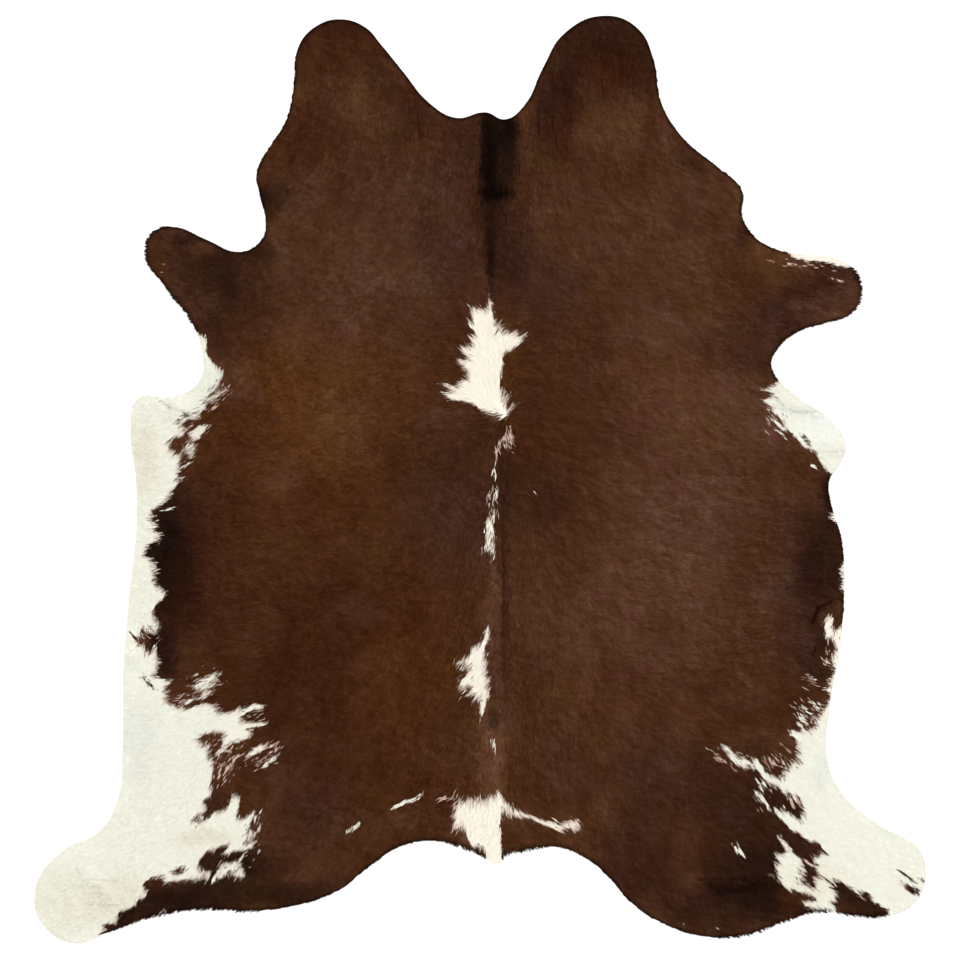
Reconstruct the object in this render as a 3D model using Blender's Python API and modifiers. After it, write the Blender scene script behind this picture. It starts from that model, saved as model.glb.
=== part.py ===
"""A natural cowhide rug lying flat on the floor, hair side up.

Units are metres, with +Z up, +Y from the tail towards the neck and +X to the right seen from above.
The origin is on the floor, under the middle of the hide's box.

The hide is one piece: tanned leather with its coat on. Its outline is laid out on a cutting template
whose unit is 1/927 of the hide's length. "across" runs to the right and "down" runs from the neck to
the tail. The template is scaled to LENGTH, so that one size drives the whole rug.
"""

import bpy
import numpy as np
from mathutils import Vector, noise
from mathutils.geometry import delaunay_2d_cdt

# ---------------------------------------------------------------- driving sizes, in metres
LENGTH = 2.200          # from the right neck lobe to the left hind foot
RIM_DEPTH = 0.0030      # leather and flattened hair at the cut edge
BELLY_DEPTH = 0.0050    # thin leather and hair on the belly and legs
BACK_DEPTH = 0.0064     # thick leather and hair along the back
MANE_DEPTH = 0.0078     # the long dark hair behind the neck notch
UNEVEN_DEPTH = 0.0006   # how much the coat's thickness wanders
UNEVEN_SPAN = 0.170     # from one thick place to the next
BACK_HALF_WIDTH = 0.450  # how far the thick back reaches from the spine
RIM_TAPER = 0.038       # how far inside the edge the coat reaches its full depth
LATTICE_STEP = 0.047    # spacing of the points inside the outline
FOLD_STEP = 0.030       # spacing of the points along a fold

# ---------------------------------------------------------------- the cutting template
TEMPLATE_LENGTH = 927.0  # template units from the neck to the hind foot
SCALE = LENGTH / TEMPLATE_LENGTH
CURVE_STEPS = 4          # straight pieces between two outline points
SPINE_ACROSS = 492.0     # the spine's place on the template
MANE_DOWN = (112.0, 300.0)

# The outline, clockwise from the neck: (across, down) in template units.
NECK_NOTCH = (
    (341.0, 19.5),
    (366.0, 28.0),
    (380.0, 43.5),
    (404.0, 73.0),
    (428.0, 102.0),
    (456.0, 118.0),
    (486.0, 112.5),
    (505.0, 119.5),
    (524.0, 106.0),
    (543.0, 68.0),
    (564.0, 34.0),
    (603.0, 16.0),
)
RIGHT_NECK = (
    (637.0, 28.0),
    (654.0, 62.0),
    (660.0, 100.0),
    (682.0, 137.0),
    (717.0, 167.0),
    (742.0, 191.0),
    (742.0, 217.0),
)
RIGHT_FORELEG = (
    (758.0, 240.0),
    (788.0, 253.0),
    (818.0, 256.0),
    (845.0, 263.0),
    (860.0, 284.0),
    (853.0, 311.0),
    (825.0, 323.0),
    (797.0, 332.0),
    (774.0, 354.0),
)
RIGHT_FLANK = (
    (771.0, 366.0),
    (795.0, 396.0),
    (828.0, 419.0),
    (845.0, 445.0),
    (839.0, 464.0),
    (829.0, 480.0),
    (831.0, 505.0),
    (841.0, 538.0),
    (844.0, 585.0),
    (840.0, 642.0),
    (828.0, 715.0),
    (826.0, 757.0),
)
RIGHT_HIND_LEG = (
    (841.0, 793.0),
    (878.0, 825.0),
    (918.0, 849.0),
    (925.0, 872.0),
    (913.0, 904.0),
    (885.0, 915.0),
    (851.0, 914.0),
    (822.0, 910.0),
    (785.0, 920.0),
    (745.0, 934.0),
    (705.0, 936.0),
    (665.0, 924.0),
    (632.0, 903.0),
    (604.0, 872.0),
)
TAIL = (
    (583.0, 856.0),
    (556.0, 846.5),
    (520.0, 850.0),
    (504.0, 854.0),
    (498.0, 862.0),
    (480.0, 853.0),
    (441.0, 841.0),
)
LEFT_HIND_LEG = (
    (403.0, 845.0),
    (368.0, 867.0),
    (340.0, 889.0),
    (300.0, 904.0),
    (254.0, 910.0),
    (200.0, 908.0),
    (152.0, 916.0),
    (100.0, 935.0),
    (76.0, 943.0),
    (43.0, 924.0),
    (36.0, 888.0),
    (62.0, 852.0),
    (100.0, 832.0),
    (119.0, 798.0),
)
LEFT_FLANK = (
    (123.0, 750.0),
    (124.0, 670.0),
    (129.0, 605.0),
    (137.0, 525.0),
    (136.0, 475.0),
    (131.0, 430.0),
    (139.0, 398.0),
    (172.0, 397.0),
    (199.0, 383.0),
    (203.0, 355.0),
)
LEFT_FORELEG = (
    (192.0, 322.0),
    (165.0, 286.0),
    (147.0, 258.0),
    (153.0, 233.0),
    (173.0, 227.0),
    (207.0, 240.0),
    (240.0, 252.0),
    (262.0, 240.0),
)
LEFT_NECK = (
    (266.0, 222.0),
    (260.0, 195.0),
    (257.0, 172.0),
    (270.0, 147.0),
    (287.0, 119.0),
    (294.0, 86.0),
    (299.0, 46.0),
    (317.0, 26.0),
)
OUTLINE = (
    NECK_NOTCH + RIGHT_NECK + RIGHT_FORELEG + RIGHT_FLANK + RIGHT_HIND_LEG
    + TAIL + LEFT_HIND_LEG + LEFT_FLANK + LEFT_FORELEG + LEFT_NECK
)

# The low folds that the leather keeps, where it lifts off the floor a little.
FOLD_COLUMNS = ("across_from", "down_from", "across_to", "down_to", "height", "half_width")
FOLDS = (
    (158.0, 399.0, 192.0, 415.0, 0.0035, 0.032),   # crease behind the left foreleg
    (776.0, 396.0, 822.0, 415.0, 0.0035, 0.032),   # crease behind the right foreleg
    (812.0, 622.0, 828.0, 598.0, 0.0025, 0.030),   # wrinkle on the right flank
    (700.0, 880.0, 792.0, 878.0, 0.0040, 0.036),   # long fold across the right hind leg
    (80.0, 872.0, 122.0, 900.0, 0.0025, 0.034),    # slack skin on the left hind foot
    (503.0, 500.0, 504.0, 672.0, 0.0030, 0.036),   # fold line along the spine
    (215.0, 262.0, 226.0, 330.0, 0.0030, 0.036),   # shoulder fold at the left foreleg
    (778.0, 276.0, 768.0, 336.0, 0.0030, 0.036),   # shoulder fold at the right foreleg
)

# ---------------------------------------------------------------- colour
COAT_BROWN = (0.075, 0.026, 0.011, 1.0)
COAT_ROUGHNESS = 0.82


def clear_scene():
    for leftover in list(bpy.data.objects):
        bpy.data.objects.remove(leftover, do_unlink=True)


def coat_material():
    material = bpy.data.materials.new("hide")
    material.use_nodes = True
    shader = material.node_tree.nodes["Principled BSDF"]
    shader.inputs["Base Color"].default_value = COAT_BROWN
    shader.inputs["Roughness"].default_value = COAT_ROUGHNESS
    shader.inputs["Metallic"].default_value = 0.0
    return material


def smooth_outline(collection):
    """The cut edge in template units, as points on one closed smooth curve."""
    curve = bpy.data.curves.new("cut_line", "CURVE")
    curve.dimensions = "2D"
    curve.fill_mode = "NONE"
    curve.resolution_u = CURVE_STEPS
    spline = curve.splines.new("BEZIER")
    spline.bezier_points.add(len(OUTLINE) - 1)
    for point, (across, down) in zip(spline.bezier_points, OUTLINE):
        point.co = (across, down, 0.0)
        point.handle_left_type = "AUTO"
        point.handle_right_type = "AUTO"
    spline.use_cyclic_u = True
    guide = bpy.data.objects.new("cut_line", curve)
    collection.objects.link(guide)
    mesh = bpy.data.meshes.new_from_object(guide.evaluated_get(bpy.context.evaluated_depsgraph_get()))
    points = np.array([vertex.co[:2] for vertex in mesh.vertices])
    bpy.data.objects.remove(guide, do_unlink=True)
    return points


class Template:
    """Turns template units into the rug's own metres."""

    def __init__(self, outline):
        self.middle = (outline.min(axis=0) + outline.max(axis=0)) / 2.0

    def place(self, points):
        offset = (np.asarray(points, dtype=float) - self.middle) * SCALE
        return offset * np.array([1.0, -1.0])


def distance_to_segments(points, starts, ends):
    """The distance from each point to the nearest of the segments, and how far along it lies, 0 to 1."""
    run = ends - starts
    along = ((points[:, None, :] - starts) * run).sum(axis=2) / (run ** 2).sum(axis=1)
    along = along.clip(0.0, 1.0)
    nearest = starts + along[:, :, None] * run
    away = np.linalg.norm(points[:, None, :] - nearest, axis=2)
    closest = away.argmin(axis=1)
    rows = np.arange(len(points))
    return away[rows, closest], along[rows, closest]


def inside(points, outline):
    """Which points lie within the closed outline: an odd number of crossings to the right."""
    starts = outline
    ends = np.roll(outline, -1, axis=0)
    x = points[:, 0:1]
    y = points[:, 1:2]
    spans = (starts[:, 1] > y) != (ends[:, 1] > y)
    rise = ends[:, 1] - starts[:, 1]
    rise = np.where(rise == 0.0, 1.0, rise)
    crossing = starts[:, 0] + (y - starts[:, 1]) / rise * (ends[:, 0] - starts[:, 0])
    return (spans & (x < crossing)).sum(axis=1) % 2 == 1


def fold_rows(template):
    """The folds in metres, one dictionary each."""
    rows = []
    for values in FOLDS:
        row = dict(zip(FOLD_COLUMNS, values))
        row["start"] = template.place((row["across_from"], row["down_from"]))
        row["end"] = template.place((row["across_to"], row["down_to"]))
        rows.append(row)
    return rows


def fold_points(fold):
    """Three lines of points, on a fold's crest and at its two feet."""
    run = fold["end"] - fold["start"]
    length = np.linalg.norm(run)
    side = np.array([-run[1], run[0]]) / length
    count = max(2, round(length / FOLD_STEP))
    shares = np.linspace(0.0, 1.0, count + 1)
    crest = fold["start"] + shares[:, None] * run
    return np.vstack([crest + side * fold["half_width"] * offset for offset in (-1.0, 0.0, 1.0)])


def inner_points(outline, folds):
    """Points inside the outline: the folds' own, then an even triangular lattice around them."""
    starts = outline
    ends = np.roll(outline, -1, axis=0)
    along_folds = np.vstack([fold_points(fold) for fold in folds])
    low = outline.min(axis=0)
    high = outline.max(axis=0)
    row_step = LATTICE_STEP * 3.0 ** 0.5 / 2.0
    lattice = []
    for row, y in enumerate(np.arange(low[1], high[1], row_step)):
        shift = LATTICE_STEP / 2.0 if row % 2 else 0.0
        for x in np.arange(low[0] + shift, high[0], LATTICE_STEP):
            lattice.append((x, y))
    lattice = np.array(lattice)
    to_fold = np.linalg.norm(lattice[:, None, :] - along_folds, axis=2).min(axis=1)
    points = np.vstack([along_folds, lattice[to_fold > FOLD_STEP * 0.8]])
    rim_distance, _ = distance_to_segments(points, starts, ends)
    return points[inside(points, outline) & (rim_distance > LATTICE_STEP * 0.5)]


def smooth_step(share):
    share = np.clip(share, 0.0, 1.0)
    return share * share * (3.0 - 2.0 * share)


def underside_lift(points, folds):
    """How far the leather stands off the floor: a soft ridge on each fold, fading at its ends."""
    lift = np.zeros(len(points))
    for fold in folds:
        away, along = distance_to_segments(points, fold["start"][None, :], fold["end"][None, :])
        across = smooth_step(1.0 - away / fold["half_width"])
        ends = smooth_step(np.minimum(along, 1.0 - along) * 4.0)
        lift = np.maximum(lift, fold["height"] * across * ends)
    return lift


def coat_depth(points, outline, template):
    """Leather and hair together: thick on the back and mane, thin on the belly and at the cut edge."""
    rim_distance, _ = distance_to_segments(points, outline, np.roll(outline, -1, axis=0))
    spine, mane_start = template.place((SPINE_ACROSS, MANE_DOWN[0]))
    mane_end = template.place((SPINE_ACROSS, MANE_DOWN[1]))[1]
    from_spine = np.abs(points[:, 0] - spine)
    back = smooth_step(1.0 - from_spine / BACK_HALF_WIDTH)
    depth = BELLY_DEPTH + (BACK_DEPTH - BELLY_DEPTH) * back
    on_mane = smooth_step(1.0 - from_spine / (LATTICE_STEP * 1.6))
    on_mane = on_mane * smooth_step((points[:, 1] - mane_end) / (mane_start - mane_end) * 2.0)
    depth = depth + (MANE_DEPTH - BACK_DEPTH) * on_mane
    wander = [noise.noise(Vector((x, y, 0.0)) / UNEVEN_SPAN) for x, y in points]
    depth = depth + UNEVEN_DEPTH * np.array(wander)
    return RIM_DEPTH + (depth - RIM_DEPTH) * smooth_step(rim_distance / RIM_TAPER)


def build_hide(collection):
    outline = smooth_outline(collection)
    template = Template(outline)
    outline = template.place(outline)
    folds = fold_rows(template)
    points = np.vstack([outline, inner_points(outline, folds)])
    flat = [Vector(point) for point in points]
    edge_loop = list(range(len(outline)))
    inside_only = 1
    vertices, _, faces, *_ = delaunay_2d_cdt(flat, [], [edge_loop], inside_only, 1e-6)

    places = np.array([vertex[:2] for vertex in vertices])
    lift = underside_lift(places, folds)
    mesh = bpy.data.meshes.new("hide")
    mesh.from_pydata([(x, y, z) for (x, y), z in zip(places, lift)], [], faces)
    if mesh.polygons[0].normal.z < 0.0:
        mesh.flip_normals()
    mesh.materials.append(coat_material())
    hide = bpy.data.objects.new("hide", mesh)
    collection.objects.link(hide)

    depth = coat_depth(places, outline, template)
    group = hide.vertex_groups.new(name="depth")
    for index, share in enumerate(depth / depth.max()):
        group.add([index], float(share), "REPLACE")
    thickness = hide.modifiers.new("leather_and_coat", "SOLIDIFY")
    thickness.thickness = float(depth.max())
    thickness.offset = 1.0
    thickness.vertex_group = group.name
    thickness.use_rim = True
    mesh.shade_smooth()
    mesh.set_sharp_from_angle(angle=np.radians(40.0))
    return hide


def main():
    clear_scene()
    rug = bpy.data.collections.new("cowhide_rug")
    bpy.context.scene.collection.children.link(rug)
    build_hide(rug)


main()
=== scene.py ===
"""The looks of the cowhide rug: its coat of hair, its leather, the floor, the light and the camera.

Units are metres, with +Z up, +Y from the tail towards the neck and +X to the right seen from above.
Places on the hide are given on a cutting template whose unit is 1/927 of the hide's length: "across" runs
to the right and "down" runs from the neck to the tail. Headings are in degrees on the template: 0 points
across to the right, 90 points down towards the tail and 180 points across to the left.
"""

import math

import bmesh
import bpy
import numpy as np
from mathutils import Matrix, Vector, kdtree, noise
from mathutils.bvhtree import BVHTree
from mathutils.geometry import delaunay_2d_cdt


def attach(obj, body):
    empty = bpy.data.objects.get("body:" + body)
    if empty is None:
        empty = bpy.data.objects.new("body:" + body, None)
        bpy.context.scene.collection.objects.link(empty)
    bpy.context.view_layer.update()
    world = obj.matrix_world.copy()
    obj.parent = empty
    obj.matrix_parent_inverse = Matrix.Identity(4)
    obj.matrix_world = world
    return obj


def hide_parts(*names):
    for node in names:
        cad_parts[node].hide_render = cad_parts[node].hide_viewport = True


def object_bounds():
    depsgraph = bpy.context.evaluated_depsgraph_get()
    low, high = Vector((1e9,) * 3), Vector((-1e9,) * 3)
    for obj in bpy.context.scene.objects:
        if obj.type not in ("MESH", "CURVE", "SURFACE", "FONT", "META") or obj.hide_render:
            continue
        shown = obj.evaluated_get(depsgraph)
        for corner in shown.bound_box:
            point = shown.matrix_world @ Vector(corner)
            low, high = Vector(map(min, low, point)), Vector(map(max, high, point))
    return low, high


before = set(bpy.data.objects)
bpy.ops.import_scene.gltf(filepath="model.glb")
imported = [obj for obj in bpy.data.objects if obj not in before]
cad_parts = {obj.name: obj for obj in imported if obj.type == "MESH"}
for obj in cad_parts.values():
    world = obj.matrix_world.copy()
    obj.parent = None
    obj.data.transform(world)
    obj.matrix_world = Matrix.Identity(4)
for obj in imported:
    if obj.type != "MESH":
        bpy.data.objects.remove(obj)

CAD_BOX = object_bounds()

# ---------------- the cutting template
TEMPLATE_LENGTH = 927.0
TEMPLATE_MIDDLE = np.array([479.8, 479.5])
FLIP = np.array([1.0, -1.0])  # the template's down is the rug's -Y
SPINE_ACROSS = 497.0
UNIT = (CAD_BOX[1].y - CAD_BOX[0].y) / TEMPLATE_LENGTH
SEED_STEP = 17.3           # from one layer of noise to the next

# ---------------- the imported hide, in metres
WELD_DISTANCE = 1e-5
DOWN_FACING = -0.7         # height of the normal below which a face belongs to the underside
PROBE_HEIGHT = 0.1         # from where rays look for the hide
RIM_STEPS = 4              # smooth steps between two points of the cut edge
FINE_RIM_STEPS = 3         # and between two of these, to measure from

# ---------------- leather, in metres
LEATHER_DEPTH = 0.0022
LEATHER_STEP = 0.0130      # spacing of the leather's points
LEATHER_MARGIN = 0.45      # share of it that inner points keep from the cut edge
POINT_TOLERANCE = 1e-7
SHARP_ANGLE = 50.0         # degrees from which an edge looks sharp
MAP_SIDE = 0.49            # share of the texture map's width for each side of the leather
MAP_EDGE = 0.4925          # where the cut edge starts on the map
BROWN_SKIN_SHADE = 0.8           # brightness of the skin next to the hair that grows there, dimmed as painted shade under the hair
CREAM_SKIN_SHADE = 0.92
# One row for each face, with its fibres to a metre, their contrast and their height in metres.
FACE_COLUMNS = ("name", "roughness", "gloss", "fibres", "contrast", "height")
LEATHER_FACES = (
    ("hide_skin", 0.85, 0.03, 420.0, 0.25, 0.0004),
    ("hide_suede", 0.95, 0.10, 260.0, 0.35, 0.0005),
    ("hide_cut_edge", 0.80, 0.20, 900.0, 0.50, 0.0003),
)
SUEDE_DARK = (0.46, 0.36, 0.26, 1.0)
SUEDE_LIGHT = (0.62, 0.52, 0.41, 1.0)
SUEDE_CLOUDS = 5.0         # clouds to a metre
SUEDE_DETAIL = 4.0
CUT_COLOUR = (0.33, 0.24, 0.17, 1.0)

# ---------------- hair, in metres and degrees
LAYER_SEED = 100
LOCK_SPACING = 0.0079      # between the roots of one layer
LOCK_JITTER = 0.5          # share of the spacing by which a root is shifted at most
LOCK_WIDTH = 0.0026
WIDTH_SPREAD = (0.8, 1.2)
BORDER_WIDTH = 0.55        # share of its width that a lock keeps where brown and cream meet
LOCK_PER_DEPTH = 3.1       # a lock's length over the depth of the coat where it grows
SHORTEST_LOCK = 0.0110
LONGEST_LOCK = 0.0260
LENGTH_SPREAD = 0.16       # share by which lengths differ
LEAST_LENGTH = 0.0005      # of a lock that the cut edge holds back
LEAST_COAT = 0.0006        # depth of the coat where the hide is thinnest
STEEPEST = 0.6             # most that a tip rises, as a share of its lock's flat length
ROOT_LIFT = 0.0001         # from the skin
LOCK_ARCH = 0.050          # how far a lock bulges, as a share of its length
ROOT_WIDTH = 0.75          # width at the root, as a share of the widest place
TIP_WELD = 0.001           # share of a lock's length within which its tip is one point
BEND_SPREAD = 0.10         # sideways bend of a tip, as a share of the length
TUFT_SEED = 11
TUFT_SPACING = 0.0088
TUFT_JITTER = 0.42
TUFT_GATHER = 0.38         # how far the tips of a tuft are drawn together
TUFT_PATTERN = 0.35        # how far a lock takes its tuft's colour rather than its own place's
PATTERN_PLACES = (0.30, 0.80)  # where along it a lock takes its root's and its tip's colours
PATTERN_SPREAD = 0.25      # by how much these shares differ from lock to lock
TUFT_SHIFT = 0.15          # and from tuft to tuft, which feathers the borders of the patches
PLAIN_SHARE = 0.45         # locks of a single colour from root to tip, where others change over a border
FADE = (0.15, 0.90)        # along its length, where a lock turns from its root's to its tip's colour
WANDER_SEED = 21
WANDER_SPANS = (30.0, 11.0)  # template units over which headings change, coarse and fine
HEADING_WANDER = 13.0      # slow change of heading from place to place
FINE_WANDER = 0.6          # the fine change over the coarse one
HEADING_SPREAD = 7.0       # change of heading from tuft to tuft
LOCK_SPREAD = 5.0          # change of heading from lock to lock
TUFT_ROLL = 6.5
LOCK_ROLL = 5.0
CREAM_LIE = 0.55           # cream hair lies sleeker: how far it rises and rolls next to brown hair
OVERHANG = 0.0013          # how far hair passes the cut edge
OVERHANG_SPREAD = (0.5, 1.3)
RIM_REACH = 0.030          # locks rooted this near the cut edge may pass it
RIM_SEED = 31
RIM_SHADE_WIDTH = 0.0085   # hair this near the cut edge is darker: painted shade where the hair curves down over the edge
RIM_SHADE_SPREAD = 0.8     # share by which this width differs
RIM_SHADE_SPAN = 14.0      # template units over which it does
BROWN_RIM_SHADE = 0.80
CREAM_RIM_SHADE = 0.05
CELLS_ACROSS = 242         # each lock has its own cell of the piece's texture map
IN_CELL_ACROSS = (0.35, 0.50)  # half of a lock's width in its cell, and its middle
IN_CELL_ALONG = (0.70, 0.15)   # a lock's length in its cell, and its root

# One row for each layer of the coat, lowest first. Its shade is painted shade: lower layers, deeper in
# the coat, are darker.
LAYER_COLUMNS = ("name", "length", "width", "lowest", "highest", "shade")
LAYERS = (
    ("coat_under", 0.82, 1.25, 0.05, 0.34, 0.95),
    ("coat_lower", 0.92, 1.15, 0.14, 0.48, 0.98),
    ("coat_middle", 1.00, 1.05, 0.28, 0.66, 1.00),
    ("coat_upper", 1.05, 1.00, 0.42, 0.82, 1.01),
    ("coat_guard", 1.12, 0.88, 0.55, 0.97, 1.02),
)

# Stretches of the edge where the hair hangs over it: across, down, reach, and overhang in metres.
FUZZY_COLUMNS = ("across", "down", "reach", "overhang")
FUZZY_EDGES = (
    (150, 250, 22, 0.006), (182, 312, 26, 0.005), (860, 290, 28, 0.006), (112, 928, 26, 0.010),
    (160, 914, 34, 0.015), (225, 908, 40, 0.012), (470, 850, 28, 0.008), (520, 850, 24, 0.010),
    (760, 930, 40, 0.009), (845, 914, 44, 0.010),
)
FUZZY_FADE = 1.4           # reaches from the middle at which the overhang ends
FUZZY_HOLD = 1.5           # above 1, it keeps its full measure around the middle

# ---------------- the way the hair lies
# The right half, which the left half mirrors: units across from the spine, down, and heading.
FLOW = (
    (8, 150, 90), (50, 140, 80), (110, 50, 84), (115, 120, 78), (160, 90, 78), (60, 220, 62),
    (140, 200, 58), (220, 190, 44), (230, 240, 34), (300, 290, 12), (350, 290, 6), (70, 300, 42),
    (160, 300, 42), (240, 310, 32), (60, 390, 28), (140, 390, 28), (230, 390, 34), (290, 400, 40),
    (330, 440, 36), (40, 480, 46), (120, 470, 28), (220, 480, 12), (310, 500, 10), (20, 560, 74),
    (80, 560, 44), (180, 570, 10), (300, 580, 3), (20, 660, 84), (80, 660, 58), (180, 670, 22),
    (300, 670, 10), (20, 760, 88), (80, 760, 66), (180, 760, 44), (280, 750, 36), (20, 840, 88),
    (90, 840, 58), (180, 860, 42), (280, 850, 46), (400, 870, 34), (440, 890, 30), (220, 920, 34),
)
FLOW_REACH = 46.0
FAR_STRENGTH = 1e-6        # keeps a direction where no row reaches
SPOT_STRENGTH = 6.0        # of the rows below, next to those above
# Whorls and turns that only one side has: across, down, heading and reach.
FLOW_SPOTS = (
    (492, 300, 262, 16), (478, 316, 236, 14), (466, 352, 212, 17), (452, 390, 200, 17),
    (486, 350, 250, 15), (490, 390, 246, 15), (505, 340, 330, 15), (517, 335, 322, 12),
    (508, 395, 308, 12), (492, 425, 160, 12), (507, 438, 70, 12), (490, 540, 108, 16),
    (474, 680, 140, 20), (488, 640, 104, 14), (484, 712, 112, 12), (540, 820, 24, 22),
    (405, 802, 158, 16), (446, 797, 176, 9), (460, 808, 120, 12), (202, 336, 70, 9), (212, 356, 64, 11),
    (222, 376, 80, 9), (218, 400, 146, 16), (188, 440, 136, 20), (186, 466, 148, 14),
    (150, 540, 168, 20), (156, 612, 130, 16), (145, 630, 262, 10), (132, 634, 214, 9),
    (150, 648, 96, 9), (206, 684, 150, 22), (149, 684, 224, 9), (255, 712, 152, 22),
    (265, 755, 148, 22), (224, 750, 130, 14), (224, 774, 104, 14), (215, 806, 112, 18),
    (242, 806, 102, 14), (252, 828, 126, 16), (214, 874, 112, 18), (176, 872, 150, 16),
    (150, 912, 128, 24), (767, 394, 8, 12), (780, 428, 40, 16), (812, 455, 48, 16), (828, 612, 128, 9),
    (818, 622, 100, 8), (830, 640, 84, 12), (800, 716, 52, 16), (728, 752, 34, 20), (770, 764, 58, 16),
    (762, 798, 60, 16), (795, 800, 62, 18), (800, 850, 44, 24), (850, 895, 38, 26),
)

# ---------------- cream and brown patches
SPINE_FLASH = (
    (490, 292), (493, 320), (498, 325), (505, 333), (515, 332), (524, 337), (520, 344), (513, 349),
    (506, 353), (502, 356), (503, 372), (500, 376), (500, 392), (505, 395), (508, 402), (504, 410),
    (514, 406), (504, 418), (500, 420), (498, 412), (495, 411), (492, 417), (486, 410), (480, 408),
    (470, 403), (460, 400), (450, 400), (443, 392), (452, 393), (444, 382), (456, 388), (460, 380),
    (468, 381), (466, 372), (458, 360), (470, 360), (466, 353), (458, 348), (475, 345), (469, 338),
    (476, 335), (470, 325), (472, 318), (470, 308), (478, 310), (482, 307), (485, 313), (488, 308),
)
SPINE_FLECK = (
    (493, 508), (492, 518), (486, 520), (485, 530), (488, 540), (480, 549), (486, 547), (489, 552),
    (493, 559), (494, 545), (492, 535), (495, 522), (494, 512),
)
LOIN_FLASH = (
    (488, 623), (490, 637), (486, 644), (484, 650), (485, 660), (486, 672), (488, 686), (488, 699),
    (485, 707), (481, 719), (480, 710), (481, 700), (477, 698), (470, 704), (475, 696), (468, 695),
    (472, 688), (460, 688), (458, 685), (466, 676), (470, 668), (460, 664), (458, 661), (466, 659),
    (470, 655), (472, 647), (478, 645), (482, 644), (485, 634),
)
TAIL_FLASH = (
    (452, 804), (458, 800), (488, 801), (491, 795), (494, 798), (498, 790), (503, 798), (510, 806),
    (520, 812), (530, 815), (541, 820), (552, 822), (560, 826), (570, 821), (580, 820), (579, 829),
    (566, 829), (560, 832), (550, 826), (540, 824), (530, 818), (520, 817), (510, 814), (502, 812),
    (500, 820), (501, 840), (502, 868), (486, 868), (487, 856), (483, 848), (478, 846), (473, 848),
    (468, 840), (466, 832), (460, 827), (450, 828), (456, 820), (452, 815), (458, 810), (455, 805),
)
LEFT_SIDE = (
    (193, 334), (207, 338), (206, 348), (209, 358), (219, 369), (224, 375), (220, 380), (216, 388),
    (222, 391), (218, 396), (211, 399), (205, 402), (206, 407), (203, 412), (199, 413),
    (198, 418), (188, 420), (181, 424), (181, 428), (186, 430), (183, 436), (172, 437), (169, 441),
    (170, 451), (177, 456), (181, 454), (180, 458), (179, 468), (180, 472), (176, 478), (181, 480),
    (172, 490), (168, 500), (157, 507), (151, 512), (153, 516), (150, 520), (156, 524), (153, 532),
    (160, 533), (158, 540), (148, 545), (144, 556), (149, 558), (153, 562), (155, 570), (154, 582),
    (162, 590), (166, 597), (157, 603), (153, 610), (154, 618), (159, 624), (158, 634), (146, 634),
    (143, 625), (140, 636), (136, 637), (128, 630), (136, 641), (139, 647), (143, 643), (145, 650),
    (149, 654), (154, 650), (158, 647), (156, 652), (158, 662), (157, 672), (152, 677), (163, 679),
    (172, 681), (165, 687), (167, 695), (165, 700), (176, 708), (191, 709), (200, 704), (214, 704),
    (219, 713), (232, 713), (236, 710), (240, 708), (241, 712), (248, 706), (254, 703), (262, 705),
    (266, 708), (259, 709), (252, 710), (241, 716), (243, 723), (252, 723), (260, 722), (268, 724),
    (258, 726), (248, 728), (253, 731), (247, 733), (252, 736), (244, 740), (238, 742), (231, 744),
    (227, 743), (222, 750), (216, 760), (216, 753), (223, 745), (223, 733), (215, 731), (203, 734),
    (198, 738), (199, 743), (203, 746), (209, 745), (207, 752), (209, 758), (213, 762), (212, 780),
    (210, 785), (212, 796), (207, 797), (203, 801), (206, 812), (200, 813), (192, 818), (193, 821),
    (201, 822), (210, 818), (213, 813), (221, 811), (225, 811), (230, 805), (231, 796), (235, 796),
    (241, 798), (239, 804), (237, 812), (237, 818), (243, 820), (247, 817), (254, 813), (250, 827),
    (250, 832), (255, 834), (254, 837), (243, 841), (247, 843), (254, 840), (256, 844), (250, 848),
    (243, 850), (226, 854), (222, 853), (229, 846), (222, 845), (216, 850), (208, 850), (199, 860),
    (198, 868), (203, 873), (214, 873), (206, 879), (185, 880), (165, 882), (163, 878), (153, 876),
    (147, 880), (144, 886), (147, 893), (143, 899), (135, 899), (137, 903), (130, 909), (122, 910),
    (117, 915), (117, 924), (104, 924), (103, 931), (100, 945), (60, 960), (10, 960), (10, 860),
    (100, 780), (105, 600), (115, 380), (150, 375), (180, 360),
)
LEFT_HOCK_POCKET = (
    (220, 864), (238, 862), (241, 866), (244, 869), (243, 878), (236, 876), (228, 871), (222, 878),
    (216, 880), (218, 872),
)
LEFT_ELBOW_POCKET = (
    (190, 433), (196, 427), (202, 425), (208, 426), (205, 431), (203, 433), (200, 438), (196, 441),
    (192, 440),
)
LEFT_ELBOW_STREAK = ((186, 445), (191, 443), (195, 447), (194, 453), (192, 459), (189, 454), (184, 453))
LEFT_FLANK_FLECK = (
    (193, 686), (198, 680), (206, 677), (219, 673), (215, 680), (212, 686), (207, 690), (213, 693),
    (205, 698), (200, 697), (204, 690), (200, 690),
)
LEFT_THIGH_FLECK = (
    (245, 758), (252, 751), (260, 744), (266, 744), (268, 747), (262, 750), (254, 755),
)
LEFT_THIGH_STREAK = ((262, 768), (268, 760), (279, 753), (276, 759))
LEFT_SHANK_ISLAND = ((171, 871), (176, 868), (181, 866), (185, 870), (183, 875), (177, 876))
RIGHT_ARM_STRIP = (
    (788, 248), (793, 258), (803, 260), (826, 262), (838, 265), (850, 268), (852, 240), (788, 240),
)
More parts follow.
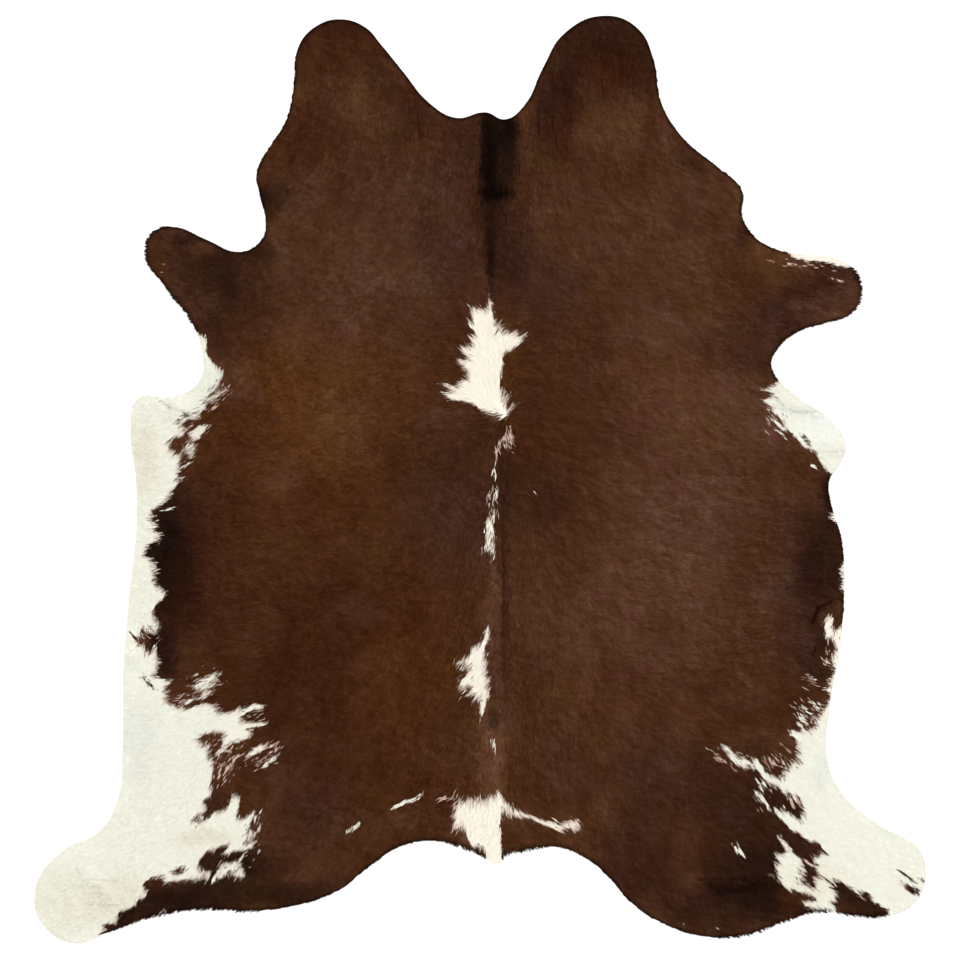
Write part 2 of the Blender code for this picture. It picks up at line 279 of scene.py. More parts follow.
RIGHT_SHOULDER = (
    (779, 379), (776, 384), (768, 388), (761, 391), (773, 393), (772, 397), (768, 399), (762, 400),
    (765, 404), (770, 405), (775, 409), (771, 410), (776, 415), (781, 419), (783, 424), (787, 429),
    (795, 436), (800, 443), (806, 448), (816, 451), (818, 458), (820, 464), (825, 467), (830, 474),
    (860, 474), (870, 420), (800, 370),
)
RIGHT_FLANK_NICK = ((831, 514), (850, 508), (850, 526), (840, 523), (834, 521), (830, 518))
RIGHT_FLANK_EDGE = (
    (844, 562), (850, 560), (850, 618), (845, 614), (845, 603), (845, 596), (842, 586), (844, 579),
    (841, 570),
)
RIGHT_SIDE = (
    (824, 619), (827, 617), (832, 617), (833, 621), (830, 626), (834, 632), (839, 630), (842, 627),
    (960, 620), (960, 930), (845, 930), (833, 912), (826, 909), (809, 908), (801, 901), (808, 902),
    (817, 900), (814, 895), (800, 893), (795, 889), (790, 893), (781, 882), (777, 877), (778, 873),
    (776, 865), (782, 862), (778, 860), (775, 855), (788, 855), (785, 848), (780, 841), (782, 837),
    (787, 845), (793, 853), (801, 858), (803, 862), (812, 872), (819, 877), (816, 866),
    (813, 857), (819, 856), (820, 853), (828, 855), (816, 840), (813, 843), (810, 841), (803, 838),
    (800, 832), (790, 830), (787, 824), (783, 821), (776, 814), (773, 809), (778, 810), (785, 811),
    (793, 816), (797, 821), (800, 820), (804, 814), (804, 809), (799, 795), (796, 795), (797, 803),
    (794, 800), (790, 791), (787, 790), (786, 797), (783, 794), (779, 786), (770, 785), (765, 781),
    (761, 774), (757, 769), (750, 766), (744, 768), (737, 765), (731, 760), (726, 753), (731, 755),
    (724, 749), (720, 744), (727, 747), (731, 751), (736, 755), (739, 759), (743, 757), (750, 762),
    (757, 769), (751, 759), (756, 758), (763, 767), (766, 774), (779, 779), (783, 777), (785, 772),
    (790, 768), (794, 761),
    (797, 764), (802, 762), (796, 755), (800, 752), (797, 748), (798, 742), (796, 738), (790, 735),
    (789, 731), (792, 730), (801, 733), (803, 729), (807, 731), (817, 726), (818, 722), (812, 721),
    (820, 717), (823, 713), (825, 708), (829, 702), (831, 697), (828, 691), (822, 691), (826, 688),
    (830, 688), (829, 682), (835, 672), (835, 668), (833, 661), (832, 656), (837, 651), (838, 648),
    (834, 642), (833, 637), (827, 640), (825, 638), (826, 631), (823, 627), (826, 623),
)
RIGHT_SHANK_ISLAND = (
    (821, 875), (830, 880), (836, 882), (838, 879), (846, 885), (853, 890), (862, 899), (860, 890),
    (870, 894), (871, 900), (882, 906), (889, 910), (888, 920), (838, 920), (835, 906), (828, 902),
    (836, 901), (834, 896), (838, 892), (830, 888), (833, 886),
)
RIGHT_HOCK_ISLAND = (
    (798, 855), (812, 859), (816, 866), (819, 877), (815, 877), (814, 882), (816, 888), (809, 887),
    (800, 883), (804, 879), (801, 874), (805, 871), (801, 866), (803, 863),
)
RIGHT_HOOF_MARK = (
    (903, 883), (909, 885), (916, 888), (921, 891), (920, 895), (914, 895), (908, 892), (904, 888),
)

# Each patch in turn is laid over those before it.
PATCHES = (
    ("cream", SPINE_FLASH, SPINE_FLECK, LOIN_FLASH, TAIL_FLASH, LEFT_SIDE, LEFT_HOCK_POCKET,
     LEFT_ELBOW_POCKET, LEFT_ELBOW_STREAK, LEFT_FLANK_FLECK, LEFT_THIGH_FLECK, LEFT_THIGH_STREAK),
    ("brown", LEFT_SHANK_ISLAND),
    ("cream", RIGHT_ARM_STRIP, RIGHT_SHOULDER, RIGHT_FLANK_NICK, RIGHT_FLANK_EDGE, RIGHT_SIDE),
    ("brown", RIGHT_SHANK_ISLAND, RIGHT_HOCK_ISLAND, RIGHT_HOOF_MARK),
)

# Thin wisps of hair: for each, across and down at both ends, and its width at the middle.
WISP_TAPER = 0.5           # share of the width that is lost towards the ends
WISP_TONES = ("ash_mark", "blush", "faded", "deep")
WISPS = (
    ("blush", (511, 432, 507, 448, 3.0), (505, 434, 502, 446, 2.0), (500, 440, 495, 460, 2.0)),
    ("cream", (493, 470, 496, 478, 3.0), (499, 489, 494, 499, 2.4), (535, 490, 536, 494, 2.0),
     (492, 738, 495, 750, 3.0)),
    ("blush", (437, 798, 457, 798, 2.4)),
    ("cream", (391, 809, 406, 801, 2.4), (404, 802, 421, 797, 4.0), (347, 831, 359, 825, 3.2)),
    ("blush", (211, 410, 219, 405, 1.8), (217, 396, 226, 390, 1.8)),
    ("brown", (209, 397, 216, 390, 2.0), (214, 394, 221, 387, 2.0)),
    ("cream", (182, 468, 191, 462, 2.2), (165, 511, 175, 507, 1.8), (186, 704, 194, 698, 2.4),
     (216, 757, 227, 745, 2.8)),
    ("blush", (233, 762, 239, 754, 2.0), (226, 751, 233, 748, 1.8), (219, 778, 221, 764, 2.4),
     (225, 776, 228, 765, 2.0)),
    ("faded", (230, 772, 232, 766, 1.6)),
    ("blush", (266, 748, 279, 743, 2.2), (270, 753, 279, 747, 1.6)),
    ("faded", (262, 760, 268, 755, 1.6)),
    ("cream", (255, 820, 258, 814, 2.4), (255, 834, 260, 828, 2.0), (240, 862, 243, 855, 2.0),
     (207, 880, 211, 872, 2.2), (213, 881, 217, 872, 2.2)),
    ("blush", (132, 924, 150, 918, 1.8), (148, 919, 166, 911, 2.0)),
    ("brown", (178, 420, 180, 426, 4.0)),
    ("ash_mark", (184, 414, 187, 417, 6.0), (143, 677, 155, 690, 4.0)),
    ("brown", (144, 678, 153, 688, 2.2), (145, 675, 148, 682, 1.8)),
    ("blush", (166, 264, 167, 266, 1.4), (162, 271, 163, 273, 1.4)),
    ("faded", (783, 267, 798, 264, 2.2)),
    ("blush", (788, 265, 795, 264, 1.6)),
    ("faded", (798, 267, 812, 265, 2.0)),
    ("blush", (835, 280, 841, 281, 2.0)),
    ("faded", (768, 262, 775, 260, 2.0)),
    ("cream", (773, 420, 786, 431, 3.0), (776, 430, 783, 435, 2.0), (810, 463, 816, 469, 2.2)),
    ("ash_mark", (801, 433, 810, 446, 4.2)),
    ("cream", (826, 661, 831, 664, 2.2), (810, 675, 813, 684, 1.8), (812, 703, 822, 704, 2.0),
     (813, 706, 823, 709, 1.8), (802, 705, 808, 713, 2.6), (797, 713, 806, 723, 4.2),
     (797, 722, 803, 730, 2.4)),
    ("blush", (786, 748, 788, 751, 1.8)),
    ("faded", (780, 743, 786, 748, 2.0)),
    ("blush", (768, 759, 776, 765, 2.2), (781, 761, 785, 767, 2.0)),
    ("faded", (763, 758, 768, 766, 2.0), (714, 757, 720, 762, 2.4)),
    ("blush", (718, 758, 727, 763, 2.0)),
    ("faded", (716, 754, 719, 758, 2.0), (731, 766, 736, 772, 1.8)),
    ("ash_mark", (768, 874, 773, 876, 2.6)),
    ("blush", (805, 861, 814, 866, 1.8), (790, 797, 793, 807, 2.0), (795, 794, 800, 805, 2.0)),
    ("cream", (756, 779, 763, 792, 2.2), (762, 780, 766, 787, 2.6), (757, 792, 769, 808, 3.4)),
    ("blush", (731, 843, 737, 850, 1.6)),
    ("cream", (734, 848, 744, 855, 3.0), (738, 844, 741, 852, 1.6)),
    ("deep", (899, 870, 917, 884, 2.6)),
    ("ash_mark", (920, 879, 925, 882, 2.0)),
    # The dark wisps here darken the arc of the crease beside them, as painted shade.
    ("deep", (830, 640, 818, 644, 1.8), (818, 644, 812, 652, 2.2), (812, 652, 814, 658, 1.8)),
    ("faded", (801, 676, 806, 684, 1.4), (807, 674, 814, 685, 1.6)),
    ("blush", (823, 663, 830, 661, 1.8)),
    ("cream", (683, 922, 684, 925, 1.6), (716, 926, 717, 928, 1.6)),
)

# Areas where single locks of the other colour are mixed in, with the share of such locks.
# A row without a turn isn't turned.
ROAN_COLUMNS = ("across", "down", "half_across", "half_down", "share", "turn")
ROAN_AREAS = (
    (215, 395, 14, 10, 0.34, -35), (189, 420, 14, 7, 0.30, -25), (188, 450, 6, 10, 0.30),
    (204, 684, 15, 12, 0.28, -30), (224, 766, 11, 22, 0.16, 10), (264, 756, 17, 11, 0.16, -30),
    (211, 742, 14, 12, 0.16), (243, 752, 10, 8, 0.14), (184, 699, 11, 6, 0.30), (148, 634, 9, 9, 0.40),
    (256, 716, 10, 9, 0.10), (252, 835, 9, 20, 0.18), (228, 870, 18, 9, 0.08), (508, 408, 8, 14, 0.30),
    (508, 438, 6, 8, 0.40), (492, 520, 5, 34, 0.22), (465, 675, 12, 24, 0.05), (832, 652, 8, 14, 0.16),
    (814, 681, 10, 10, 0.04), (808, 712, 13, 11, 0.30), (730, 756, 18, 7, 0.20, 10),
    (778, 764, 13, 9, 0.22), (764, 794, 8, 14, 0.20, 30), (801, 876, 5, 9, 0.20),
    (776, 420, 9, 13, 0.18, 40), (820, 265, 30, 4, 0.08, 5),
)

# ---------------- colours
# As seen in even light, from 0 to 255.
TONES = {
    "brown": (80, 47, 26),
    "black": (12, 3, 1),
    "deep": (34, 17, 10),
    "dark": (52, 28, 17),
    "plum": (64, 38, 29),
    "mauve": (94, 63, 47),
    "ash": (84, 54, 37),
    "tan": (98, 64, 40),
    "rose": (90, 57, 39),
    "warm": (88, 50, 21),
    "umber": (64, 31, 13),
    "rust": (74, 39, 17),
    "pale": (108, 73, 48),
    "milk": (250, 243, 227),
    "snow": (246, 247, 240),
    "cream": (238, 237, 222),
    "blush": (226, 195, 180),
    "frost": (222, 225, 216),
    "mint": (230, 233, 218),
    "sand": (224, 217, 195),
    "faded": (160, 125, 107),
    "ash_mark": (112, 104, 90),
}
# Soft ovals of another tone, each laid over those before it. An oval without a turn isn't turned.
OVAL_COLUMNS = ("across", "down", "half_across", "half_down", "strength", "turn")
BROWN_AREAS = (
    ("ash", (380, 220, 110, 120, 0.75), (625, 190, 105, 120, 0.55)),
    ("tan", (368, 262, 44, 36, 0.25), (365, 106, 22, 24, 0.30), (612, 130, 36, 22, 0.45),
     (660, 225, 40, 44, 0.25)),
    ("rust", (330, 150, 60, 30, 0.45), (625, 172, 40, 24, 0.55)),
    ("plum", (458, 215, 36, 80, 0.50), (425, 130, 40, 34, 0.35, 20)),
    ("rose", (670, 550, 110, 120, 0.75)),
    ("tan", (640, 570, 60, 50, 0.20)),
    ("rose", (700, 520, 44, 60, 0.45), (705, 430, 76, 60, 0.85)),
    ("umber", (782, 462, 24, 24, 0.20), (640, 652, 40, 30, 0.35), (765, 710, 30, 14, 0.50),
     (570, 335, 40, 30, 0.40), (532, 442, 26, 24, 0.50), (312, 142, 44, 26, 0.60),
     (425, 140, 30, 26, 0.70)),
    ("tan", (466, 655, 18, 28, 0.35), (405, 725, 30, 50, 0.30), (385, 500, 34, 30, 0.25),
     (368, 84, 18, 22, 0.40), (700, 405, 60, 44, 0.35)),
    ("rose", (610, 640, 80, 70, 0.55)),
    ("tan", (750, 490, 30, 20, 0.30)),
    ("umber", (750, 560, 60, 90, 0.25)),
    ("warm", (320, 420, 105, 80, 0.85)),
    ("tan", (362, 412, 46, 44, 0.50), (325, 340, 40, 30, 0.25), (290, 480, 30, 26, 0.35)),
    ("rust", (232, 425, 44, 40, 0.70)),
    ("umber", (222, 512, 34, 54, 0.60), (412, 460, 36, 36, 0.60)),
    ("rust", (330, 512, 60, 40, 0.75)),
    ("umber", (325, 632, 125, 66, 0.85)),
    ("rust", (332, 556, 34, 18, 0.50)),
    ("tan", (268, 566, 22, 22, 0.12), (445, 570, 26, 26, 0.35), (200, 632, 16, 42, 0.30)),
    ("mauve", (690, 530, 44, 50, 0.40), (620, 556, 20, 30, 0.35), (745, 415, 32, 30, 0.60),
     (660, 326, 44, 22, 0.40), (592, 372, 20, 16, 0.35), (240, 378, 22, 26, 0.35),
     (286, 250, 24, 20, 0.30), (456, 422, 22, 14, 0.25), (302, 742, 26, 16, 0.40),
     (570, 754, 30, 16, 0.35), (778, 735, 20, 20, 0.15), (410, 814, 22, 16, 0.40)),
    ("umber", (340, 690, 130, 60, 0.70)),
    ("rust", (420, 610, 50, 80, 0.80), (400, 700, 46, 54, 0.80)),
    ("warm", (402, 685, 34, 56, 0.40), (455, 678, 14, 30, 0.45)),
    ("umber", (330, 775, 80, 36, 0.75)),
    ("rust", (420, 785, 60, 30, 0.70)),
    ("plum", (310, 815, 50, 40, 0.40)),
    ("umber", (555, 420, 50, 80, 0.35), (560, 520, 40, 50, 0.35), (560, 775, 50, 30, 0.50),
     (780, 620, 40, 100, 0.30), (620, 432, 30, 16, 0.30)),
    ("rust", (600, 690, 60, 24, 0.40)),
    ("dark", (600, 28, 56, 30, 1.00)),
    ("umber", (590, 60, 60, 30, 0.90)),
    ("deep", (600, 44, 36, 16, 0.45)),
    ("dark", (561, 98, 23, 60, 1.00, 12), (651, 54, 10, 24, 0.60), (690, 158, 18, 14, 0.55, 40),
     (736, 232, 9, 12, 0.60)),
    ("umber", (560, 140, 24, 40, 0.60)),
    ("dark", (640, 72, 22, 22, 0.55)),
    ("umber", (655, 120, 16, 50, 0.50, -12)),
    ("dark", (342, 24, 44, 18, 0.85)),
    ("umber", (340, 48, 56, 28, 0.60)),
    ("dark", (388, 76, 14, 30, 0.35, -30), (420, 104, 20, 16, 0.40, 40)),
    ("umber", (300, 118, 24, 20, 0.60), (326, 100, 20, 16, 0.35), (408, 96, 16, 20, 0.50),
     (345, 188, 24, 18, 0.40)),
    ("rust", (400, 402, 22, 20, 0.45)),
    ("umber", (700, 684, 28, 20, 0.40), (645, 806, 24, 16, 0.50)),
    ("dark", (272, 206, 12, 12, 0.40), (446, 250, 22, 24, 0.25)),
    ("umber", (690, 212, 24, 24, 0.50)),
    ("deep", (268, 192, 11, 14, 0.90)),
    ("dark", (286, 190, 14, 14, 0.70), (262, 236, 14, 24, 0.60), (248, 246, 24, 14, 0.80),
     (222, 272, 36, 44, 0.85), (248, 300, 30, 40, 0.40)),
    ("plum", (180, 248, 34, 18, 0.60, 20)),
    ("dark", (208, 326, 16, 26, 0.70), (222, 348, 12, 14, 0.60)),
    ("deep", (188, 240, 10, 9, 0.60, 30), (226, 278, 12, 22, 0.50)),
    ("rust", (160, 258, 14, 18, 0.40)),
    ("dark", (778, 316, 22, 22, 0.85), (768, 352, 16, 26, 0.42)),
    ("plum", (818, 296, 44, 30, 0.50)),
    ("mauve", (826, 302, 34, 16, 0.35), (202, 300, 12, 18, 0.40)),
    ("plum", (182, 288, 14, 20, 0.60)),
    ("dark", (836, 272, 26, 6, 0.80, 8)),
    ("tan", (832, 312, 16, 7, 0.40, -20)),
    ("dark", (808, 288, 22, 8, 0.55)),
    ("tan", (768, 258, 30, 14, 0.45, 25)),
    ("plum", (738, 340, 40, 34, 0.50), (540, 285, 36, 36, 0.70)),
    ("dark", (512, 240, 18, 40, 0.55)),
    ("umber", (462, 340, 30, 60, 0.35)),
    ("warm", (508, 372, 8, 28, 0.50)),
    ("dark", (503, 470, 8, 40, 0.60)),
    ("plum", (460, 500, 46, 70, 0.60)),
    ("dark", (530, 492, 34, 34, 0.50), (464, 134, 20, 26, 0.65), (504, 244, 18, 50, 0.70),
     (491, 210, 14, 24, 0.90)),
    ("deep", (492, 250, 4, 52, 0.95), (501, 156, 17, 38, 0.95), (510, 140, 6, 34, 0.80)),
    ("black", (503, 128, 13, 14, 0.65), (486, 154, 7, 46, 0.90), (492, 154, 6, 42, 0.60),
     (495, 187, 18, 7, 1.00)),
    ("dark", (180, 570, 30, 80, 0.80)),
    ("deep", (174, 540, 20, 46, 1.00), (184, 584, 22, 40, 0.90)),
    ("black", (172, 556, 14, 40, 0.50)),
    ("tan", (182, 694, 18, 12, 0.30), (268, 778, 20, 30, 0.15)),
    ("dark", (166, 650, 18, 40, 1.00)),
    ("deep", (164, 652, 12, 24, 0.40)),
    ("dark", (820, 668, 14, 16, 0.60)),
    ("umber", (205, 590, 30, 50, 0.50)),
    ("plum", (800, 560, 26, 70, 0.60)),
    ("deep", (820, 562, 26, 52, 0.80)),
    ("dark", (818, 642, 20, 50, 0.80)),
    ("plum", (796, 655, 22, 50, 0.50)),
    ("dark", (794, 588, 18, 36, 0.60)),
    ("deep", (824, 500, 11, 32, 0.75)),
    ("umber", (786, 702, 30, 26, 0.35)),
    ("dark", (268, 705, 24, 18, 0.30), (215, 800, 16, 14, 0.70), (258, 864, 28, 18, 0.85)),
    ("umber", (395, 845, 50, 12, 0.55, -20)),
    ("deep", (150, 905, 60, 20, 0.90, -15), (252, 895, 76, 15, 0.75, -2)),
    ("dark", (330, 882, 40, 9, 0.50, -14), (215, 885, 20, 10, 0.60)),
    ("deep", (218, 860, 34, 18, 0.70)),
    ("plum", (668, 775, 52, 46, 0.70)),
    ("umber", (500, 845, 24, 14, 0.60)),
    ("dark", (752, 822, 56, 66, 0.90), (634, 860, 40, 44, 0.75), (690, 902, 50, 34, 0.55),
     (800, 830, 30, 60, 0.85)),
    ("deep", (752, 864, 46, 18, 0.75)),
    ("black", (742, 890, 50, 12, 0.80)),
    ("deep", (766, 905, 34, 12, 0.90), (722, 912, 60, 16, 0.55), (804, 908, 26, 7, 0.50),
     (850, 896, 44, 22, 0.80, 30)),
    ("black", (912, 890, 14, 9, 0.90, 30)),
    ("rose", (512, 592, 8, 30, 0.50)),
    ("tan", (494, 600, 7, 40, 0.60)),
    ("dark", (498, 704, 10, 20, 0.50)),
    ("rose", (496, 680, 9, 90, 0.50)),
    ("dark", (505, 590, 4, 90, 0.50)),
    ("deep", (494, 721, 5, 7, 0.70)),
    ("pale", (492, 750, 13, 46, 0.80)),
    ("black", (512, 124, 9, 10, 0.70), (487, 121, 7, 8, 0.70)),
    ("dark", (282, 200, 18, 12, 0.50)),
    ("black", (190, 566, 9, 26, 0.30)),
    ("deep", (170, 648, 14, 26, 0.50)),
    ("tan", (262, 630, 20, 24, 0.25), (312, 345, 16, 18, 0.25), (345, 552, 18, 12, 0.25),
     (420, 150, 28, 14, 0.25)),
    ("dark", (312, 822, 12, 14, 0.50)),
    ("tan", (268, 815, 10, 12, 0.30)),
    ("deep", (232, 868, 44, 11, 0.60), (208, 889, 30, 9, 0.40)),
    ("tan", (465, 843, 15, 8, 0.70, 30)),
    ("deep", (494, 715, 6, 12, 0.60)),
    ("dark", (485, 432, 11, 14, 0.50), (744, 366, 22, 12, 0.30), (755, 290, 14, 18, 0.35)),
    ("tan", (715, 200, 28, 10, 0.30), (736, 180, 7, 12, 0.40)),
    ("mauve", (840, 278, 12, 8, 0.25)),
    ("tan", (792, 484, 16, 12, 0.35)),
    ("dark", (726, 720, 24, 12, 0.30), (752, 746, 16, 12, 0.35)),
    ("umber", (792, 898, 12, 12, 0.60)),
    ("tan", (662, 138, 9, 18, 0.30), (562, 166, 14, 12, 0.30)),
    ("dark", (590, 94, 16, 12, 0.30), (640, 88, 14, 12, 0.30), (302, 44, 8, 20, 0.50)),
    ("tan", (826, 611, 8, 5, 0.40)),
    ("umber", (528, 185, 18, 26, 0.45)),
    ("dark", (206, 495, 14, 20, 0.25)),
    ("tan", (510, 849, 10, 8, 0.50)),
    ("black", (730, 885, 26, 10, 0.30)),
    ("tan", (655, 92, 6, 22, 0.30)),
    ("deep", (150, 548, 9, 12, 0.90)),
    ("dark", (205, 862, 12, 8, 0.80), (543, 105, 8, 22, 0.50), (200, 290, 18, 14, 0.30)),
    ("umber", (240, 540, 22, 18, 0.40), (240, 620, 20, 16, 0.35)),
    ("rust", (288, 585, 18, 16, 0.40)),
    ("umber", (268, 455, 24, 22, 0.35)),
    ("tan", (690, 885, 14, 12, 0.30), (614, 565, 18, 18, 0.30)),
    ("mauve", (770, 590, 24, 24, 0.40)),
    ("tan", (690, 580, 20, 16, 0.25), (612, 372, 16, 12, 0.30)),
    ("mauve", (735, 412, 22, 16, 0.30), (366, 606, 18, 14, 0.30)),
    ("tan", (206, 252, 12, 8, 0.40, 20), (290, 482, 18, 12, 0.25), (332, 172, 16, 12, 0.35),
     (488, 605, 8, 16, 0.30)),
    ("mauve", (772, 332, 10, 14, 0.35), (295, 775, 18, 16, 0.30), (570, 775, 20, 16, 0.30)),
    ("tan", (575, 690, 18, 16, 0.25)),
    ("mauve", (540, 650, 16, 18, 0.30), (738, 700, 28, 12, 0.20)),
)
CREAM_AREAS = (
    ("milk", (485, 350, 60, 90, 1.00), (485, 600, 40, 200, 0.85), (500, 820, 120, 50, 0.85),
     (820, 256, 44, 10, 1.00, 5), (834, 590, 14, 110, 0.80), (262, 735, 30, 40, 0.50)),
    ("snow", (818, 424, 24, 20, 0.60, 20)),
    ("blush", (197, 438, 14, 22, 0.20)),
    ("frost", (142, 732, 20, 30, 0.45), (142, 772, 9, 11, 0.45)),
    ("mint", (211, 378, 12, 26, 0.80)),
    ("sand", (146, 460, 14, 40, 0.60), (205, 835, 26, 9, 0.70, -4)),
    ("mint", (130, 666, 12, 10, 0.60)),
    ("sand", (120, 896, 30, 22, 0.55, -30), (70, 900, 40, 30, 0.35)),
    ("frost", (800, 408, 26, 6, 0.60, 12), (836, 452, 12, 4, 0.60)),
    ("mint", (822, 446, 8, 8, 0.60)),
    ("sand", (812, 880, 30, 20, 0.40)),
    ("frost", (820, 770, 8, 14, 0.50)),
    ("mint", (890, 832, 20, 10, 0.40, 20)),
)
AREA_SOFTNESS = 0.55       # share of an area's size over which it fades
AREA_WANDER = 13.0         # template units by which noise shifts an area's border
SPINE_REACH = 30.0         # template units from the spine within which it shifts less
SPINE_WANDER = 0.25
CREAM_WANDER = 0.4         # shift of the cream areas' borders, next to the brown ones
BROWN_WANDER_SPAN = 40.0   # template units over which the shifts change
CREAM_WANDER_SPAN = 20.0
BROWN_SHIFT_SEED = 3       # the first seed of each use of noise
BROWN_MOTTLE_SEED = 5
CREAM_SHIFT_SEED = 7
CREAM_MOTTLE_SEED = 9
HUE_SEED = 12
BROWN_MOTTLE = 0.24
CREAM_MOTTLE = 0.010
SLOW_SPAN = 26.0           # template units over which the slow changes of brightness run
SLOW_STRETCH = (1.0, 0.55)  # they are longer from neck to tail
BLOTCH_SPANS = (12.0, 6.0)  # coarse and fine blotches
FINE_BLOTCHES = 0.6        # the fine ones over the coarse ones
STREAK_SPAN = 5.0
STREAK_DEPTH = 0.35
STREAK_STEPS = (-8.0, -4.0, 0.0, 4.0, 8.0)  # template units along the lie of the hair
SHEEN_TINT = (0.65, 1.00, 1.40)  # lighter hair is also greyer, as painted sheen: how far red, green and blue follow
HUE_MOTTLE = (0.03, -0.03, 0.25)  # how far noise shifts red, green and blue
HUE_SPANS = (30.0, 10.0)
HUE_DEPTH = 0.8
BROWN_SPREAD = 0.08        # from lock to lock
TUFT_SPREAD = 0.08         # from tuft to tuft
FLECK_SHARE = 0.03         # tufts that stand out
FLECK_RANGE = (-3.5, 3.0)  # darker or lighter than others
CREAM_SPREAD = 0.008
ROAN_PLACE = 0.6           # share of its length at which a lock's roan area is found
ROAN_SHADE = 0.8           # single cream locks among brown ones are dimmer
ROAN_BLUSH = 0.5           # and at least this pink
BLUSH_SHARE = 0.9          # how far a cream lock at a patch's border may turn pink
BROWN_BLUSH = 0.30         # and how far a brown one may
CREAM_FOLLOWS = 0.25       # how far cream locks take their layer's painted shade
BROWN_GAIN = 0.755         # these make up for the strong light and for what is lost between the locks
CREAM_GAIN = 0.797
WHITEST = 0.93

# ---------------- the hair's material
HAIR_ROUGHNESS = 0.6
HAIR_GLOSS = 0.02
GRAIN_DETAIL = 3.0         # of the fine fibres of hair and leather
GRAIN_ROUGHNESS = 0.6
STRAND_SCALE = 2.6         # how fine the strands of a lock are
STRAND_STRETCH = 0.25
STRAND_SHIFT = 50.0        # sets the strands of each lock apart
STRAND_CONTRAST = 0.25
STRAND_HEIGHT = 0.0002     # metres
LIGHT_CALM = 1.25          # light hair shows less of every shade
LEAST_CONTRAST = 0.06
ROOT_SHADE = 0.06           # painted shade: how much darker a lock is at its root, deep in the coat
TIP_LIGHT = 0.10           # and how much lighter than that at its tip
# The painted light and shade of the small ruffles of the coat.
RUFFLE_SIZE = 0.027        # metres between the small ruffles of the coat
RUFFLE_STEP = 0.003        # metres from a ruffle's light side to its dark side
RUFFLE_SHADE_DEPTH = 0.15
RUFFLE_DARK_SIDE = 1.5     # the dark side over the light side
RUFFLE_SLOPE = 0.06        # slope of the noise at which a side has its full shade
RUFFLE_STRETCH = (1.0, 1.4, 0.0)
RUFFLE_DETAIL = 1.0
RUFFLE_DISTORTION = 0.5
RUFFLE_PATCHES = 6.0       # patches with more or fewer ruffles to a metre
RUFFLE_NOISE = (0.35, 0.65)  # range of the noise that sets the patches
RUFFLE_STRENGTH = (0.4, 1.2)  # strength of the ruffles in them

# ---------------- creases and ripples
# Across and down at both ends, half width and height in metres, and shade: the painted shade along each
# crease, wrinkle and ripple, and in the last row the dark line of the hoof mark. Most of the short ones
# are the wrinkles of the neck and the ripples of the right flank.
CREASE_COLUMNS = ("across_from", "down_from", "across_to", "down_to", "half_width", "height", "shade")
CREASES = (
    (158, 399, 170, 407.5, 0.005, -0.0012, 0.74), (170, 407.5, 190, 413, 0.005, -0.0010, 0.80),
    (776, 399, 783, 405.5, 0.005, -0.0012, 0.80), (783, 405.5, 793, 411.5, 0.005, -0.0012, 0.82),
    (793, 411.5, 818, 413, 0.006, -0.0012, 0.86), (826, 452, 845, 451, 0.006, -0.0010, 0.86),
    (88, 879, 118, 881, 0.004, -0.0010, 0.88), (92, 885, 106, 888, 0.004, -0.0010, 0.88),
    (85, 904, 118, 905, 0.004, -0.0010, 0.88), (75, 867, 81, 874, 0.004, -0.0008, 0.85),
    (503, 495, 504, 680, 0.007, -0.0010, 0.72), (832, 601, 818, 608, 0.008, -0.0012, 0.26),
    (818, 608, 812, 623, 0.008, -0.0010, 0.26), (816, 645, 812, 655, 0.006, -0.0010, 0.62),
    (700, 879, 770, 877.5, 0.008, -0.0012, 0.55), (774, 521.5, 812, 520, 0.006, -0.0006, 0.70),
    (745, 546.5, 782, 545, 0.005, -0.0006, 0.76), (792, 556, 832, 553.5, 0.006, -0.0006, 0.76),
    (758, 574, 800, 573, 0.005, -0.0006, 0.74), (776, 612, 810, 617, 0.005, -0.0005, 0.76),
    (734, 640, 770, 637, 0.005, -0.0005, 0.78), (722, 655, 762, 651, 0.005, -0.0005, 0.78),
    (733, 547, 749, 546, 0.004, -0.0004, 0.60), (784, 589.5, 797, 584, 0.005, -0.0004, 0.60),
    (538, 108, 538.5, 134, 0.005, -0.0004, 0.52), (546, 112, 546, 130, 0.004, -0.0003, 0.70),
    (553, 116, 553, 131, 0.004, -0.0003, 0.62), (556, 135, 557, 149, 0.005, -0.0003, 0.60),
    (553, 76, 553.5, 90, 0.004, -0.0003, 0.68), (566, 98, 568, 113, 0.004, -0.0003, 0.62),
    (571, 112, 571, 133, 0.004, -0.0003, 0.64), (580, 96, 583, 108, 0.004, -0.0003, 0.48),
    (601, 80, 604, 99, 0.004, -0.0003, 0.62), (614, 68, 614, 90, 0.004, -0.0003, 0.70),
    (631, 70, 634, 84, 0.004, -0.0003, 0.62), (613, 140, 611, 158, 0.004, -0.0003, 0.70),
    (418, 116, 419.5, 134, 0.004, -0.0003, 0.62), (433, 148, 436, 158, 0.004, -0.0003, 0.64),
    (676, 161, 685, 164.5, 0.004, -0.0003, 0.42), (690, 162, 704, 176, 0.004, -0.0003, 0.66),
    (704, 208, 719, 220, 0.004, -0.0003, 0.62), (899, 870, 917, 883.5, 0.004, -0.0003, 0.42),
)

